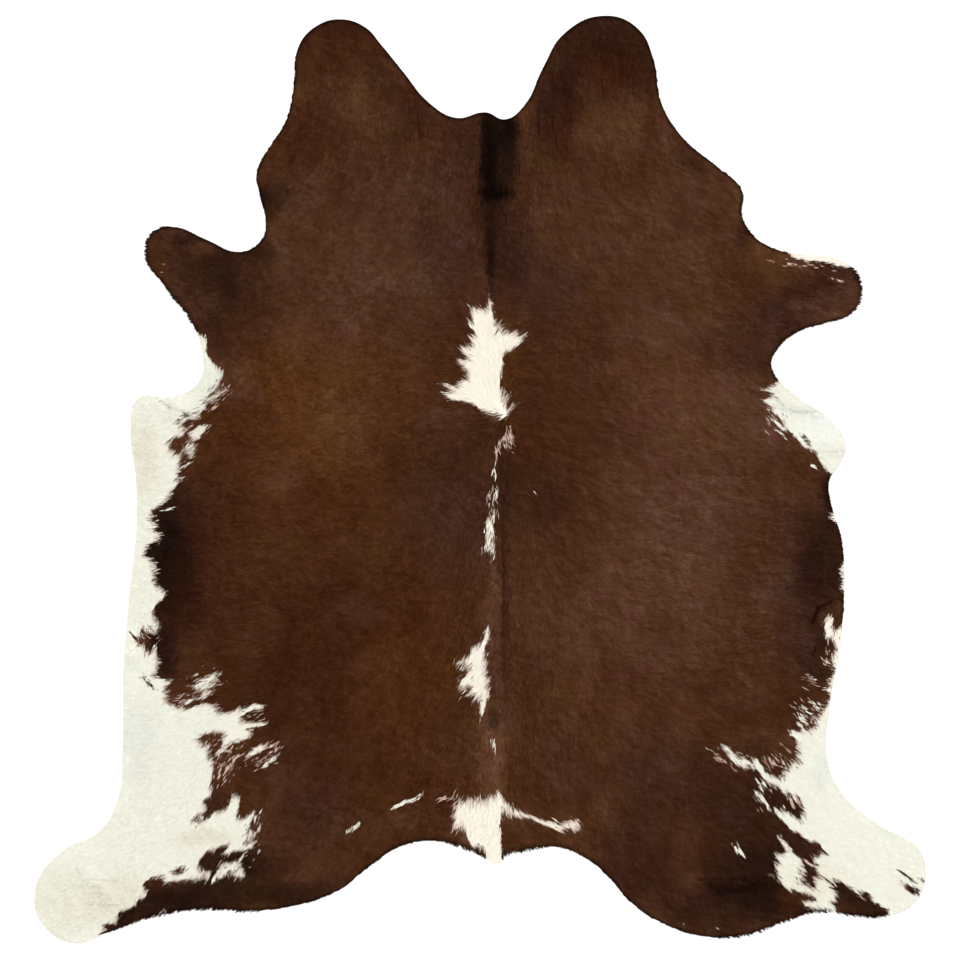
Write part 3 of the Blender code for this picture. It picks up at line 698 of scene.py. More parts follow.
# ---------------- camera, light and floor
VIEW_MIDDLE = (480.0, 480.0)
VIEW_WIDTH = 960.0         # template units across the picture
LENS = 85.0                # millimetres
SENSOR = 36.0
CLIP_END = 200.0
FLOOR_SIZE = 120.0
FLOOR_HEIGHT = -0.0002     # just under the leather, which lies at 0
FLOOR_SHADE = 0.90
FLOOR_ROUGHNESS = 0.9
SKY_STRENGTH = 0.95
SUN_COLUMNS = ("name", "strength", "azimuth", "elevation", "spread")
SUNS = (
    ("key_light", 1.30, 130.0, 52.0, 38.0),
    ("fill_light", 0.60, -40.0, 60.0, 55.0),
)


# ================ the template
def to_template(places):
    """From the rug's metres to template units."""
    return np.asarray(places, dtype=float)[..., :2] * FLIP / UNIT + TEMPLATE_MIDDLE


def to_metres(points):
    """From template units to the rug's metres."""
    return (np.asarray(points, dtype=float) - TEMPLATE_MIDDLE) * FLIP * UNIT


def inside(points, border):
    """Which points lie within a closed border, both in template units."""
    border = np.asarray(border, dtype=float)
    within = np.zeros(len(points), dtype=bool)
    near = np.flatnonzero(((points >= border.min(axis=0)) & (points <= border.max(axis=0))).all(axis=1))
    across, down = points[near].T
    crossings = np.zeros(len(near), dtype=int)
    for (across_0, down_0), (across_1, down_1) in zip(border, np.roll(border, -1, axis=0)):
        if down_0 == down_1:
            continue
        spans = (down_0 > down) != (down_1 > down)
        at = across_0 + (down - down_0) * (across_1 - across_0) / (down_1 - down_0)
        crossings += spans & (across < at)
    within[near] = crossings % 2 == 1
    return within


def to_segment(points, start, end):
    """The distance from each point to a segment, and how far along it the nearest place is, 0 to 1."""
    start = np.asarray(start, dtype=float)
    run = np.asarray(end, dtype=float) - start
    along = (((points - start) @ run) / (run @ run)).clip(0.0, 1.0)
    return np.linalg.norm(points - start - along[:, None] * run, axis=1), along


def smooth_step(share):
    """A soft step from 0 to 1."""
    share = np.clip(share, 0.0, 1.0)
    return share * share * (3.0 - 2.0 * share)


def noise_at(points, span, seed):
    """Smooth noise from about -1 to 1, one value a point; span is the size of its features."""
    level = SEED_STEP * seed
    return np.array([noise.noise(Vector((x / span, y / span, level))) for x, y in points])


def rows_of(table, columns):
    """A table's rows, each with its columns' names."""
    return [dict(zip(columns, row)) for row in table]


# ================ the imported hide
def merged_hide():
    """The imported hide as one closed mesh, whose loose triangles share their points."""
    merged = bmesh.new()
    merged.from_mesh(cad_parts["hide"].data)
    bmesh.ops.remove_doubles(merged, verts=merged.verts, dist=WELD_DISTANCE)
    merged.normal_update()
    return merged


def cut_edge(merged):
    """The hide's cut edge: the closed run of edges between its underside and its wall."""
    ahead = {}
    for edge in merged.edges:
        down_facing = [face.normal.z < DOWN_FACING for face in edge.link_faces]
        if len(down_facing) == 2 and down_facing[0] != down_facing[1]:
            one, other = edge.verts
            ahead.setdefault(one, []).append(other)
            ahead.setdefault(other, []).append(one)
    first = next(iter(ahead))
    loop = [first, ahead[first][0]]
    while loop[-1] is not first:
        loop.append(next(vert for vert in ahead[loop[-1]] if vert is not loop[-2]))
    return np.array([vert.co[:2] for vert in loop[:-1]])


def smoothed(loop, steps):
    """A closed run of points with a smooth curve put through them."""
    before = np.roll(loop, 1, axis=0)
    after = np.roll(loop, -1, axis=0)
    beyond = np.roll(loop, -2, axis=0)
    pieces = []
    for step in range(steps):
        t = step / steps
        pieces.append(
            0.5 * (2.0 * loop + (after - before) * t
                   + (2.0 * before - 5.0 * loop + 4.0 * after - beyond) * t ** 2
                   + (3.0 * loop - before - 3.0 * after + beyond) * t ** 3)
        )
    return np.stack(pieces, axis=1).reshape(-1, 2)


def place_tree(places):
    """A tree that finds the nearest of some places."""
    tree = kdtree.KDTree(len(places))
    for index, (x, y) in enumerate(places):
        tree.insert((x, y, 0.0), index)
    tree.balance()
    return tree


def nearest(tree, places):
    """The distance from each place to the nearest point of a tree, and that point's number."""
    found = [tree.find((x, y, 0.0)) for x, y in places]
    return np.array([hit[2] for hit in found]), np.array([hit[1] for hit in found])


def lattice(low, high, spacing):
    """A triangular lattice of places over a box."""
    row_step = spacing * math.sqrt(3.0) / 2.0
    rows = []
    for row, y in enumerate(np.arange(low[1], high[1] + row_step, row_step)):
        x = np.arange(low[0] - spacing * 0.5 * (row % 2), high[0] + spacing, spacing)
        rows.append(np.stack([x, np.full(len(x), y)], axis=1))
    return np.vstack(rows)


class PackedHide:
    """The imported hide, which the leather and the coat are fitted to."""

    def __init__(self, merged):
        self.tree = BVHTree.FromBMesh(merged)
        self.rim = smoothed(cut_edge(merged), RIM_STEPS)
        self.rim_tree = place_tree(smoothed(self.rim, FINE_RIM_STEPS))
        self.low = self.rim.min(axis=0)
        self.high = self.rim.max(axis=0)

    def heights(self, places, from_above):
        """The height of the hide's top or underside at each place, and whether the hide is there."""
        start = PROBE_HEIGHT if from_above else -PROBE_HEIGHT
        aim = Vector((0.0, 0.0, -math.copysign(1.0, start)))
        height = np.zeros(len(places))
        there = np.zeros(len(places), dtype=bool)
        for index, (x, y) in enumerate(places):
            hit = self.tree.ray_cast(Vector((x, y, start)), aim)[0]
            if hit is None:
                hit = self.tree.find_nearest(Vector((x, y, start)))[0]
            else:
                there[index] = True
            height[index] = hit.z
        return height, there

    def to_rim(self, places):
        """The distance from each place to the cut edge."""
        return nearest(self.rim_tree, places)[0]


def crease_height(points):
    """The height that creases and ripples add to the leather at points in template units."""
    height = np.zeros(len(points))
    for crease in rows_of(CREASES, CREASE_COLUMNS):
        start = (crease["across_from"], crease["down_from"])
        end = (crease["across_to"], crease["down_to"])
        away, _ = to_segment(points, start, end)
        height += crease["height"] * smooth_step(1.0 - away * UNIT / crease["half_width"])
    return height


# ================ colour
def linear(tone):
    """A tone's colour as light, from its value as seen."""
    seen = np.array(TONES[tone]) / 255.0
    return np.where(seen <= 0.04045, seen / 12.92, ((seen + 0.055) / 1.055) ** 2.4)


def area_weight(points, area):
    """How strongly a soft turned oval holds at each point, 0 to 1."""
    turn = math.radians(area.get("turn", 0.0))
    offset = points - np.array([area["across"], area["down"]])
    along = offset[:, 0] * math.cos(turn) + offset[:, 1] * math.sin(turn)
    beside = offset[:, 1] * math.cos(turn) - offset[:, 0] * math.sin(turn)
    reach = np.hypot(along / area["half_across"], beside / area["half_down"])
    return smooth_step((1.0 + AREA_SOFTNESS - reach) / (2.0 * AREA_SOFTNESS))


def shaded_areas(points, base, areas, shift):
    """The base tone with each soft oval laid over it in turn."""
    colours = np.tile(linear(base), (len(points), 1))
    for tone, *ovals in areas:
        for oval in rows_of(ovals, OVAL_COLUMNS):
            weight = oval["strength"] * area_weight(points + shift, oval)
            colours += (linear(tone) - colours) * weight[:, None]
    return colours


def lightened(colours, change):
    """Colours made lighter, or darker where the change is negative; lighter ones also greyer, as painted
    sheen.
    """
    return colours * np.exp(change[:, None] * np.array(SHEEN_TINT))


def mottle(points, lie, seed):
    """Changes of brightness, partly the hair's own tone and partly painted sheen: slow ones, blotches and
    streaks along the lie.
    """
    coarse, fine = BLOTCH_SPANS
    blotches = noise_at(points, coarse, seed + 1) + FINE_BLOTCHES * noise_at(points, fine, seed + 2)
    streaks = sum(noise_at(points + lie * step, STREAK_SPAN, seed + 3) for step in STREAK_STEPS)
    return noise_at(points * SLOW_STRETCH, SLOW_SPAN, seed) + blotches + STREAK_DEPTH * streaks


def wandering(points, span, seed):
    """A slow change of place from about -1 to 1, across and down."""
    return np.stack([noise_at(points, span, seed), noise_at(points, span, seed + 1)], axis=1)


def brown_colours(points, lie):
    """The colour of brown hair at each point."""
    shift = AREA_WANDER * wandering(points, BROWN_WANDER_SPAN, BROWN_SHIFT_SEED)
    scale = np.where(np.abs(points[:, :1] - SPINE_ACROSS) < SPINE_REACH, SPINE_WANDER, 1.0)
    colours = shaded_areas(points, "brown", BROWN_AREAS, shift * scale)
    colours = lightened(colours, BROWN_MOTTLE * mottle(points, lie, BROWN_MOTTLE_SEED))
    coarse, fine = HUE_SPANS
    hue = HUE_DEPTH * noise_at(points, coarse, HUE_SEED)
    hue = hue + HUE_DEPTH * noise_at(points, fine, HUE_SEED + 1)
    return colours * np.exp(hue[:, None] * np.array(HUE_MOTTLE))


def cream_colours(points, lie):
    """The colour of cream hair at each point."""
    shift = AREA_WANDER * CREAM_WANDER * wandering(points, CREAM_WANDER_SPAN, CREAM_SHIFT_SEED)
    colours = shaded_areas(points, "cream", CREAM_AREAS, shift)
    return lightened(colours, CREAM_MOTTLE * mottle(points, lie, CREAM_MOTTLE_SEED))


def is_cream(points):
    """Which points lie on a cream patch."""
    cream = np.zeros(len(points), dtype=bool)
    for kind, *borders in PATCHES:
        for border in borders:
            cream[inside(points, border)] = kind == "cream"
    return cream


def roan_share(points):
    """The share of locks of the other colour at each point."""
    share = np.zeros(len(points))
    for area in rows_of(ROAN_AREAS, ROAN_COLUMNS):
        share = np.maximum(share, area["share"] * area_weight(points, area))
    return share


def wisp_kinds(points):
    """The kind of the wisp that each point lies on, or None away from them."""
    kinds = np.full(len(points), None, dtype=object)
    for kind, *wisps in WISPS:
        for across_from, down_from, across_to, down_to, width in wisps:
            away, along = to_segment(points, (across_from, down_from), (across_to, down_to))
            taper = 1.0 - np.abs(2.0 * along - 1.0) ** 3 * WISP_TAPER
            kinds[away < width / 2.0 * taper] = kind
    return kinds


def rim_shade(points, gap, cream):
    """The share of its brightness that a lock keeps at its distance from the cut edge, as painted shade.
    """
    width = RIM_SHADE_WIDTH * (1.0 + RIM_SHADE_SPREAD * noise_at(points, RIM_SHADE_SPAN, RIM_SEED))
    return 1.0 - smooth_step(1.0 - gap / width) * np.where(cream, CREAM_RIM_SHADE, BROWN_RIM_SHADE)


# ================ the way the hair lies
def flow_rows():
    """Every row of the flow: place, heading and reach."""
    rows = []
    for from_spine, down, heading in FLOW:
        rows.append((SPINE_ACROSS + from_spine, down, heading, FLOW_REACH))
        rows.append((SPINE_ACROSS - from_spine, down, 180.0 - heading, FLOW_REACH))
    rows.extend(FLOW_SPOTS)
    return np.array(rows)


def flow(points):
    """The direction in which the hair lies at each point, as unit vectors on the template."""
    rows = flow_rows()
    reach = rows[:, 3]
    headings = np.radians(rows[:, 2])
    directions = np.stack([np.cos(headings), np.sin(headings)], axis=1)
    away = np.linalg.norm(points[:, None, :] - rows[:, :2], axis=2)
    strength = np.where(reach < FLOW_REACH, SPOT_STRENGTH, 1.0)
    weights = strength * np.exp(-((away / reach) ** 2)) + FAR_STRENGTH / (1.0 + away)
    total = weights @ directions
    return total / np.linalg.norm(total, axis=1)[:, None]


def turned(directions, degrees):
    """Directions turned by an angle each."""
    angle = np.radians(degrees)
    cos = np.cos(angle)
    sin = np.sin(angle)
    return np.stack([
        directions[:, 0] * cos - directions[:, 1] * sin,
        directions[:, 0] * sin + directions[:, 1] * cos,
    ], axis=1)


# ================ nodes
def add(tree, kind, inputs=None, **settings):
    """A new node, with its settings made and its inputs set or linked."""
    node = tree.nodes.new(kind)
    for name, value in settings.items():
        setattr(node, name, value)
    for key, value in (inputs or {}).items():
        if isinstance(value, bpy.types.NodeSocket):
            tree.links.new(value, node.inputs[key])
        else:
            node.inputs[key].default_value = value
    return node


def maths(tree, operation, *values):
    """The result of a Math node."""
    return add(tree, "ShaderNodeMath", dict(enumerate(values)), operation=operation).outputs[0]


def vector_maths(tree, operation, inputs, output="Vector"):
    """The result of a Vector Math node."""
    return add(tree, "ShaderNodeVectorMath", inputs, operation=operation).outputs[output]


def combined(tree, x, y, z):
    """Three values as one vector."""
    return add(tree, "ShaderNodeCombineXYZ", {"X": x, "Y": y, "Z": z}).outputs[0]


def ranged(tree, value, source, target, **settings):
    """A value carried over from one range to another."""
    ends = {"From Min": source[0], "From Max": source[1], "To Min": target[0], "To Max": target[1]}
    return add(tree, "ShaderNodeMapRange", {"Value": value, **ends}, **settings).outputs[0]


def noise_texture(tree, place, scale, detail, **inputs):
    """Soft noise from 0 to 1."""
    inputs = {"Vector": place, "Scale": scale, "Detail": detail, **inputs}
    return add(tree, "ShaderNodeTexNoise", inputs).outputs[0]


def blended(tree, share, one, other):
    """One colour blended into another."""
    made = add(tree, "ShaderNodeMix", {0: share, "A": one, "B": other}, data_type="RGBA")
    return made.outputs["Result"]


def object_place(tree):
    """The place on the piece, in metres."""
    return add(tree, "ShaderNodeTexCoord").outputs["Object"]


def attribute(tree, name):
    """The outputs of one of the mesh's own attributes."""
    return add(tree, "ShaderNodeAttribute", attribute_name=name, attribute_type="GEOMETRY").outputs


def group_with(name, kind, inputs, outputs):
    """A node group with its sockets; each socket is (name, type, default)."""
    group = bpy.data.node_groups.new(name, kind)
    for direction, sockets in (("INPUT", inputs), ("OUTPUT", outputs)):
        for label, data_type, default in sockets:
            socket_type = "NodeSocket" + data_type
            socket = group.interface.new_socket(name=label, in_out=direction, socket_type=socket_type)
            if default is not None:
                socket.default_value = default
    return group


# ================ materials
def fibre_grain_group():
    """Fine fibres: a shade around 1 and a height, at a chosen scale and stretch along Y."""
    group = group_with(
        "fibre_grain", "ShaderNodeTree",
        [("Place", "Vector", None), ("Scale", "Float", 400.0), ("Stretch", "Float", 1.0),
         ("Contrast", "Float", 0.2)],
        [("Shade", "Float", None), ("Height", "Float", None)],
    )
    given = add(group, "NodeGroupInput").outputs
    stretch = combined(group, 1.0, given["Stretch"], 1.0)
    place = vector_maths(group, "MULTIPLY", {0: given["Place"], 1: stretch})
    grain = noise_texture(group, place, given["Scale"], GRAIN_DETAIL, Roughness=GRAIN_ROUGHNESS)
    level = maths(group, "SUBTRACT", grain, 0.5)
    shade = maths(group, "MULTIPLY_ADD", level, given["Contrast"], 1.0)
    add(group, "NodeGroupOutput", {"Shade": shade, "Height": grain})
    return group


def crease_line_group():
    """Darkens a shade near one straight crease, as painted shade."""
    group = group_with(
        "crease_line", "ShaderNodeTree",
        [("Shade", "Float", 1.0), ("Place", "Vector", None), ("Start", "Vector", None),
         ("Run", "Vector", None), ("Half Width", "Float", 0.005), ("Depth", "Float", 0.1)],
        [("Shade", "Float", None)],
    )
    given = add(group, "NodeGroupInput").outputs
    level = vector_maths(group, "MULTIPLY", {0: given["Place"], 1: (1.0, 1.0, 0.0)})
    offset = vector_maths(group, "SUBTRACT", {0: level, 1: given["Start"]})
    forward = vector_maths(group, "DOT_PRODUCT", {0: offset, 1: given["Run"]}, "Value")
    square = vector_maths(group, "DOT_PRODUCT", {0: given["Run"], 1: given["Run"]}, "Value")
    along = add(group, "ShaderNodeClamp", {0: maths(group, "DIVIDE", forward, square)}).outputs[0]
    nearest_place = vector_maths(group, "SCALE", {0: given["Run"], "Scale": along})
    away = vector_maths(group, "DISTANCE", {0: offset, 1: nearest_place}, "Value")
    near = ranged(
        group, away, (0.0, given["Half Width"]), (given["Depth"], 0.0), interpolation_type="SMOOTHSTEP"
    )
    kept = maths(group, "SUBTRACT", 1.0, near)
    add(group, "NodeGroupOutput", {"Shade": maths(group, "MULTIPLY", given["Shade"], kept)})
    return group


def ruffle_shade_group():
    """The painted light and shade of small ruffles of the coat, each lighter on one side and darker on
    the other.
    """
    group = group_with(
        "coat_ruffle", "ShaderNodeTree",
        [("Place", "Vector", None), ("Size", "Float", RUFFLE_SIZE), ("Step", "Float", RUFFLE_STEP),
         ("Depth", "Float", RUFFLE_SHADE_DEPTH)],
        [("Shade", "Float", None)],
    )
    given = add(group, "NodeGroupInput").outputs
    level = vector_maths(group, "MULTIPLY", {0: given["Place"], 1: RUFFLE_STRETCH})
    offset = combined(group, given["Step"], given["Step"], 0.0)
    beside = vector_maths(group, "ADD", {0: level, 1: offset})
    scale = maths(group, "DIVIDE", 1.0, given["Size"])
    one, other = (
        noise_texture(group, place, scale, RUFFLE_DETAIL, Distortion=RUFFLE_DISTORTION)
        for place in (level, beside)
    )
    rise = maths(group, "SUBTRACT", one, other)
    patchy = noise_texture(group, level, RUFFLE_PATCHES, RUFFLE_DETAIL)
    ruffled = ranged(group, patchy, RUFFLE_NOISE, RUFFLE_STRENGTH)
    slope = maths(group, "MULTIPLY", rise, ruffled)
    dark_side = maths(group, "MULTIPLY_ADD", given["Depth"], -RUFFLE_DARK_SIDE, 1.0)
    light_side = maths(group, "ADD", given["Depth"], 1.0)
    shade = ranged(group, slope, (-RUFFLE_SLOPE, RUFFLE_SLOPE), (dark_side, light_side))
    add(group, "NodeGroupOutput", {"Shade": shade})
    return group


def creased(tree, crease_line, shade):
    """A shade with the painted shade of every crease of the leather laid over it."""
    place = object_place(tree)
    for crease in rows_of(CREASES, CREASE_COLUMNS):
        start = to_metres((crease["across_from"], crease["down_from"]))
        end = to_metres((crease["across_to"], crease["down_to"]))
        shade = add(tree, "ShaderNodeGroup", {
            "Shade": shade,
            "Place": place,
            "Start": (*start, 0.0),
            "Run": (*(end - start), 0.0),
            "Half Width": crease["half_width"],
            "Depth": 1.0 - crease["shade"],
        }, node_tree=crease_line).outputs[0]
    return shade


def new_material(name, roughness, gloss):
    """A material with its node tree and its shader."""
    material = bpy.data.materials.new(name)
    material.use_nodes = True
    shader = material.node_tree.nodes["Principled BSDF"]
    shader.inputs["Roughness"].default_value = roughness
    shader.inputs["Specular IOR Level"].default_value = gloss
    return material, material.node_tree, shader


def tinted(tree, colour, shade, contrast):
    """A hair's colour multiplied by a shade: darker brown hair is also redder, lighter hair greyer, as
    painted sheen.
    """
    follow = [maths(tree, "MULTIPLY_ADD", contrast, tint - 1.0, 1.0) for tint in SHEEN_TINT]
    parts = [maths(tree, "POWER", shade, power) for power in follow]
    return vector_maths(tree, "MULTIPLY", {0: colour, 1: combined(tree, *parts)})


def grained(tree, grain, place, scale, stretch, contrast):
    """The shade and height of fine fibres."""
    inputs = {"Place": place, "Scale": scale, "Stretch": stretch, "Contrast": contrast}
    return add(tree, "ShaderNodeGroup", inputs, node_tree=grain).outputs


def bump(tree, shader, height, depth):
    """Bumps on a shader, from a height of 0 to 1 and their depth in metres."""
    made = add(tree, "ShaderNodeBump", {"Height": height, "Distance": depth, "Strength": 1.0})
    tree.links.new(made.outputs[0], shader.inputs["Normal"])


def hair_material(grain, crease_line, ruffle):
    """Short glossy hair: each lock is a bundle of strands, darker at its root than at its tip as painted
    shade.
    """
    material, tree, shader = new_material("hide_hair", HAIR_ROUGHNESS, HAIR_GLOSS)
    coat = attribute(tree, "coat")
    along = attribute(tree, "along")["Fac"]
    across = attribute(tree, "across")["Fac"]
    place = combined(tree, across, along, maths(tree, "MULTIPLY", coat["Alpha"], STRAND_SHIFT))
    to_tip = ranged(tree, along, FADE, (0.0, 1.0), interpolation_type="SMOOTHSTEP")
    colour = blended(tree, to_tip, coat["Color"], attribute(tree, "coat_tip")["Color"])
    lightness = add(tree, "ShaderNodeSeparateColor", {0: colour}).outputs["Red"]
    contrast = maths(tree, "MULTIPLY_ADD", lightness, -LIGHT_CALM, 1.0)
    contrast = maths(tree, "MAXIMUM", contrast, LEAST_CONTRAST)
    strand_contrast = maths(tree, "MULTIPLY", contrast, STRAND_CONTRAST)
    strands = grained(tree, grain, place, STRAND_SCALE, STRAND_STRETCH, strand_contrast)
    lighter = maths(tree, "MULTIPLY", maths(tree, "MULTIPLY_ADD", along, TIP_LIGHT, -ROOT_SHADE), contrast)
    root_shade = maths(tree, "ADD", lighter, 1.0)
    shade = creased(tree, crease_line, maths(tree, "MULTIPLY", root_shade, strands["Shade"]))
    ruffle_shades = add(tree, "ShaderNodeGroup", {
        "Place": object_place(tree),
        "Size": RUFFLE_SIZE,
        "Step": RUFFLE_STEP,
        "Depth": maths(tree, "MULTIPLY", contrast, RUFFLE_SHADE_DEPTH),
    }, node_tree=ruffle).outputs[0]
    shade = maths(tree, "MULTIPLY", shade, ruffle_shades)
    tree.links.new(tinted(tree, colour, shade, contrast), shader.inputs["Base Color"])
    hollow = maths(tree, "MULTIPLY", across, across)
    rounded = maths(tree, "SUBTRACT", strands["Height"], hollow)
    bump(tree, shader, maths(tree, "MULTIPLY", rounded, contrast), STRAND_HEIGHT)
    return material


def skin_base(tree):
    """The skin under the hair, of the colour that it has at each point, with its painted shade."""
    return attribute(tree, "coat")["Color"]


def suede_base(tree):
    """The flesh side, in soft clouds of two shades."""
    cloud = noise_texture(tree, object_place(tree), SUEDE_CLOUDS, SUEDE_DETAIL)
    return blended(tree, cloud, SUEDE_DARK, SUEDE_LIGHT)


def cut_base(tree):
    """The cut edge, of one colour."""
    base = add(tree, "ShaderNodeRGB").outputs[0]
    base.default_value = CUT_COLOUR
    return base


def leather_material(face, grain, base):
    """One face of the leather: its base colour under fine fibres."""
    material, tree, shader = new_material(face["name"], face["roughness"], face["gloss"])
    fibres = grained(tree, grain, object_place(tree), face["fibres"], 1.0, face["contrast"])
    colour = vector_maths(tree, "SCALE", {0: base(tree), "Scale": fibres["Shade"]})
    tree.links.new(colour, shader.inputs["Base Color"])
    bump(tree, shader, fibres["Height"], face["height"])
    return material


def leather_materials(grain):
    """The leather's three faces: the skin under the hair, the suede flesh side and the cut edge."""
    bases = (skin_base, suede_base, cut_base)
    rows = rows_of(LEATHER_FACES, FACE_COLUMNS)
    return [leather_material(face, grain, base) for face, base in zip(rows, bases)]


# ================ the leather
def bake_modifiers(piece):
    """Turns a piece's modifiers into its plain mesh."""
    evaluated = piece.evaluated_get(bpy.context.evaluated_depsgraph_get())
    finished = bpy.data.meshes.new_from_object(evaluated)
    old = piece.data
    piece.modifiers.clear()
    piece.data = finished
    bpy.data.meshes.remove(old)
    finished.name = piece.name


def mesh_points(mesh):
    """The mesh's points, one row each."""
    points = np.empty(len(mesh.vertices) * 3)
    mesh.vertices.foreach_get("co", points)
    return points.reshape(-1, 3)


def read(items, name):
    """One whole number of each of a mesh's items."""
    values = np.empty(len(items), dtype=int)
    items.foreach_get(name, values)
    return values


def lower_creases(mesh):
    """Presses the creases into the leather's upper face."""
    points = mesh_points(mesh)
    upper = points[:, 2] > LEATHER_DEPTH * 0.5
    points[upper, 2] += crease_height(to_template(points[upper]))
    mesh.vertices.foreach_set("co", points.ravel())
    mesh.update()


def map_leather(mesh):
    """The texture map: hair side on the left half, flesh side on the right half, cut edge between."""
    points = mesh_points(mesh)
    low = points.min(axis=0)
    share = (points - low) / (points.max(axis=0) - low)
    uv = mesh.uv_layers.new(name="OFBake")
    corners = read(mesh.loops, "vertex_index")
    material = np.repeat(read(mesh.polygons, "material_index"), read(mesh.polygons, "loop_total"))
    across = np.choose(material, [
        share[corners, 0] * MAP_SIDE,
        1.0 - MAP_SIDE + share[corners, 0] * MAP_SIDE,
        MAP_EDGE + share[corners, 2] * (1.0 - 2.0 * MAP_EDGE),
    ])
    uv.uv.foreach_set("vector", np.stack([across, share[corners, 1]], axis=1).ravel())


def skin_colours(places, hide, tufts):
    """The skin's colour: a little darker than the hair that grows there, as painted shade under the hair.
    """
    points = to_template(places)
    _, number = nearest(tufts.tree, places)
    cream = is_cream(points)
    colours = np.where(cream[:, None], tufts.cream[number] * CREAM_SKIN_SHADE, tufts.brown[number] * BROWN_SKIN_SHADE)
    return colours * rim_shade(points, hide.to_rim(places), cream)[:, None]


def flesh_side(hide, tufts):
    """The leather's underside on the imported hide's folds, as a mesh with the skin's colours."""
    grid = lattice(hide.low, hide.high, LEATHER_STEP)
    _, there = hide.heights(grid, from_above=False)
    grid = grid[there]
    grid = grid[hide.to_rim(grid) > LEATHER_STEP * LEATHER_MARGIN]
    points = np.vstack([hide.rim, grid])
    edge_loop = list(range(len(hide.rim)))
    inside_only = 1
    flat = [Vector(point) for point in points]
    places, _, faces, *_ = delaunay_2d_cdt(flat, [], [edge_loop], inside_only, POINT_TOLERANCE)
    places = np.array([place[:2] for place in places])
    underside, _ = hide.heights(places, from_above=False)
    underside = np.maximum(underside, 0.0)

    mesh = bpy.data.meshes.new("hide_leather")
    mesh.from_pydata([(x, y, z) for (x, y), z in zip(places, underside)], [], faces)
    if mesh.polygons[0].normal.z < 0.0:
        mesh.flip_normals()
    coat = mesh.attributes.new("coat", "FLOAT_COLOR", "POINT")
    colours = np.column_stack([skin_colours(places, hide, tufts), np.ones(len(places))])
    coat.data.foreach_set("color", colours.ravel())
    return mesh


def build_leather(hide, tufts, materials):
    """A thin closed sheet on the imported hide's folds, with its creases."""
    mesh = flesh_side(hide, tufts)
    for material in materials:
        mesh.materials.append(material)
    sheet = bpy.data.objects.new("hide_leather", mesh)
    bpy.context.scene.collection.objects.link(sheet)
    thickness = sheet.modifiers.new("thickness", "SOLIDIFY")
    thickness.thickness = LEATHER_DEPTH
    thickness.offset = 1.0
    thickness.use_rim = True
    # The suede and the cut edge come first and second after the skin in the list of materials.
    thickness.material_offset = 1
    thickness.material_offset_rim = 2
    bake_modifiers(sheet)
    lower_creases(sheet.data)
    map_leather(sheet.data)
    sheet.data.shade_smooth()
    sheet.data.set_sharp_from_angle(angle=math.radians(SHARP_ANGLE))
    return sheet


# ================ the coat
def named(tree, name, data_type):
    """One of the geometry's attributes."""
    made = add(tree, "GeometryNodeInputNamedAttribute", {"Name": name}, data_type=data_type)
    return made.outputs["Attribute"]


def stored(tree, geometry, name, value, data_type, domain="POINT"):
    """A geometry that keeps a value as one of its attributes."""
    inputs = {"Geometry": geometry, "Name": name, "Value": value}
    made = add(tree, "GeometryNodeStoreNamedAttribute", inputs, data_type=data_type, domain=domain)
    return made.outputs["Geometry"]


def unit_lock(tree, given):
    """One lock of unit length along +Y: a leaf of two faces, widest at its middle and arched."""
    size = {"Size X": 1.0, "Size Y": 1.0, "Vertices X": 2, "Vertices Y": 3}
    grid = add(tree, "GeometryNodeMeshGrid", size)
    position = add(tree, "GeometryNodeInputPosition").outputs[0]
    place = add(tree, "ShaderNodeSeparateXYZ", {0: position}).outputs
    up_lock = maths(tree, "ADD", place["Y"], 0.5)
    left = maths(tree, "SUBTRACT", 1.0, up_lock)
    # A lock is as wide as Root Width at its root, 1 at its middle and 0 at its tip.
    growth = maths(tree, "MULTIPLY_ADD", given["Root Width"], -2.0, 4.0)
    swell = maths(tree, "MULTIPLY_ADD", growth, up_lock, given["Root Width"])
    beside = maths(tree, "MULTIPLY", place["X"], maths(tree, "MULTIPLY", left, swell))
    rise = maths(tree, "MULTIPLY", maths(tree, "MULTIPLY", up_lock, left), given["Arch"])
    shape = combined(tree, beside, up_lock, maths(tree, "MULTIPLY", rise, 4.0))
    leaf = stored(tree, grid.outputs["Mesh"], "across", maths(tree, "MULTIPLY", place["X"], 2.0), "FLOAT")
    leaf = stored(tree, leaf, "along", up_lock, "FLOAT")
    leaf = add(tree, "GeometryNodeSetPosition", {"Geometry": leaf, "Position": shape}).outputs[0]
    return add(tree, "GeometryNodeMergeByDistance", {"Geometry": leaf, "Distance": TIP_WELD}).outputs[0]


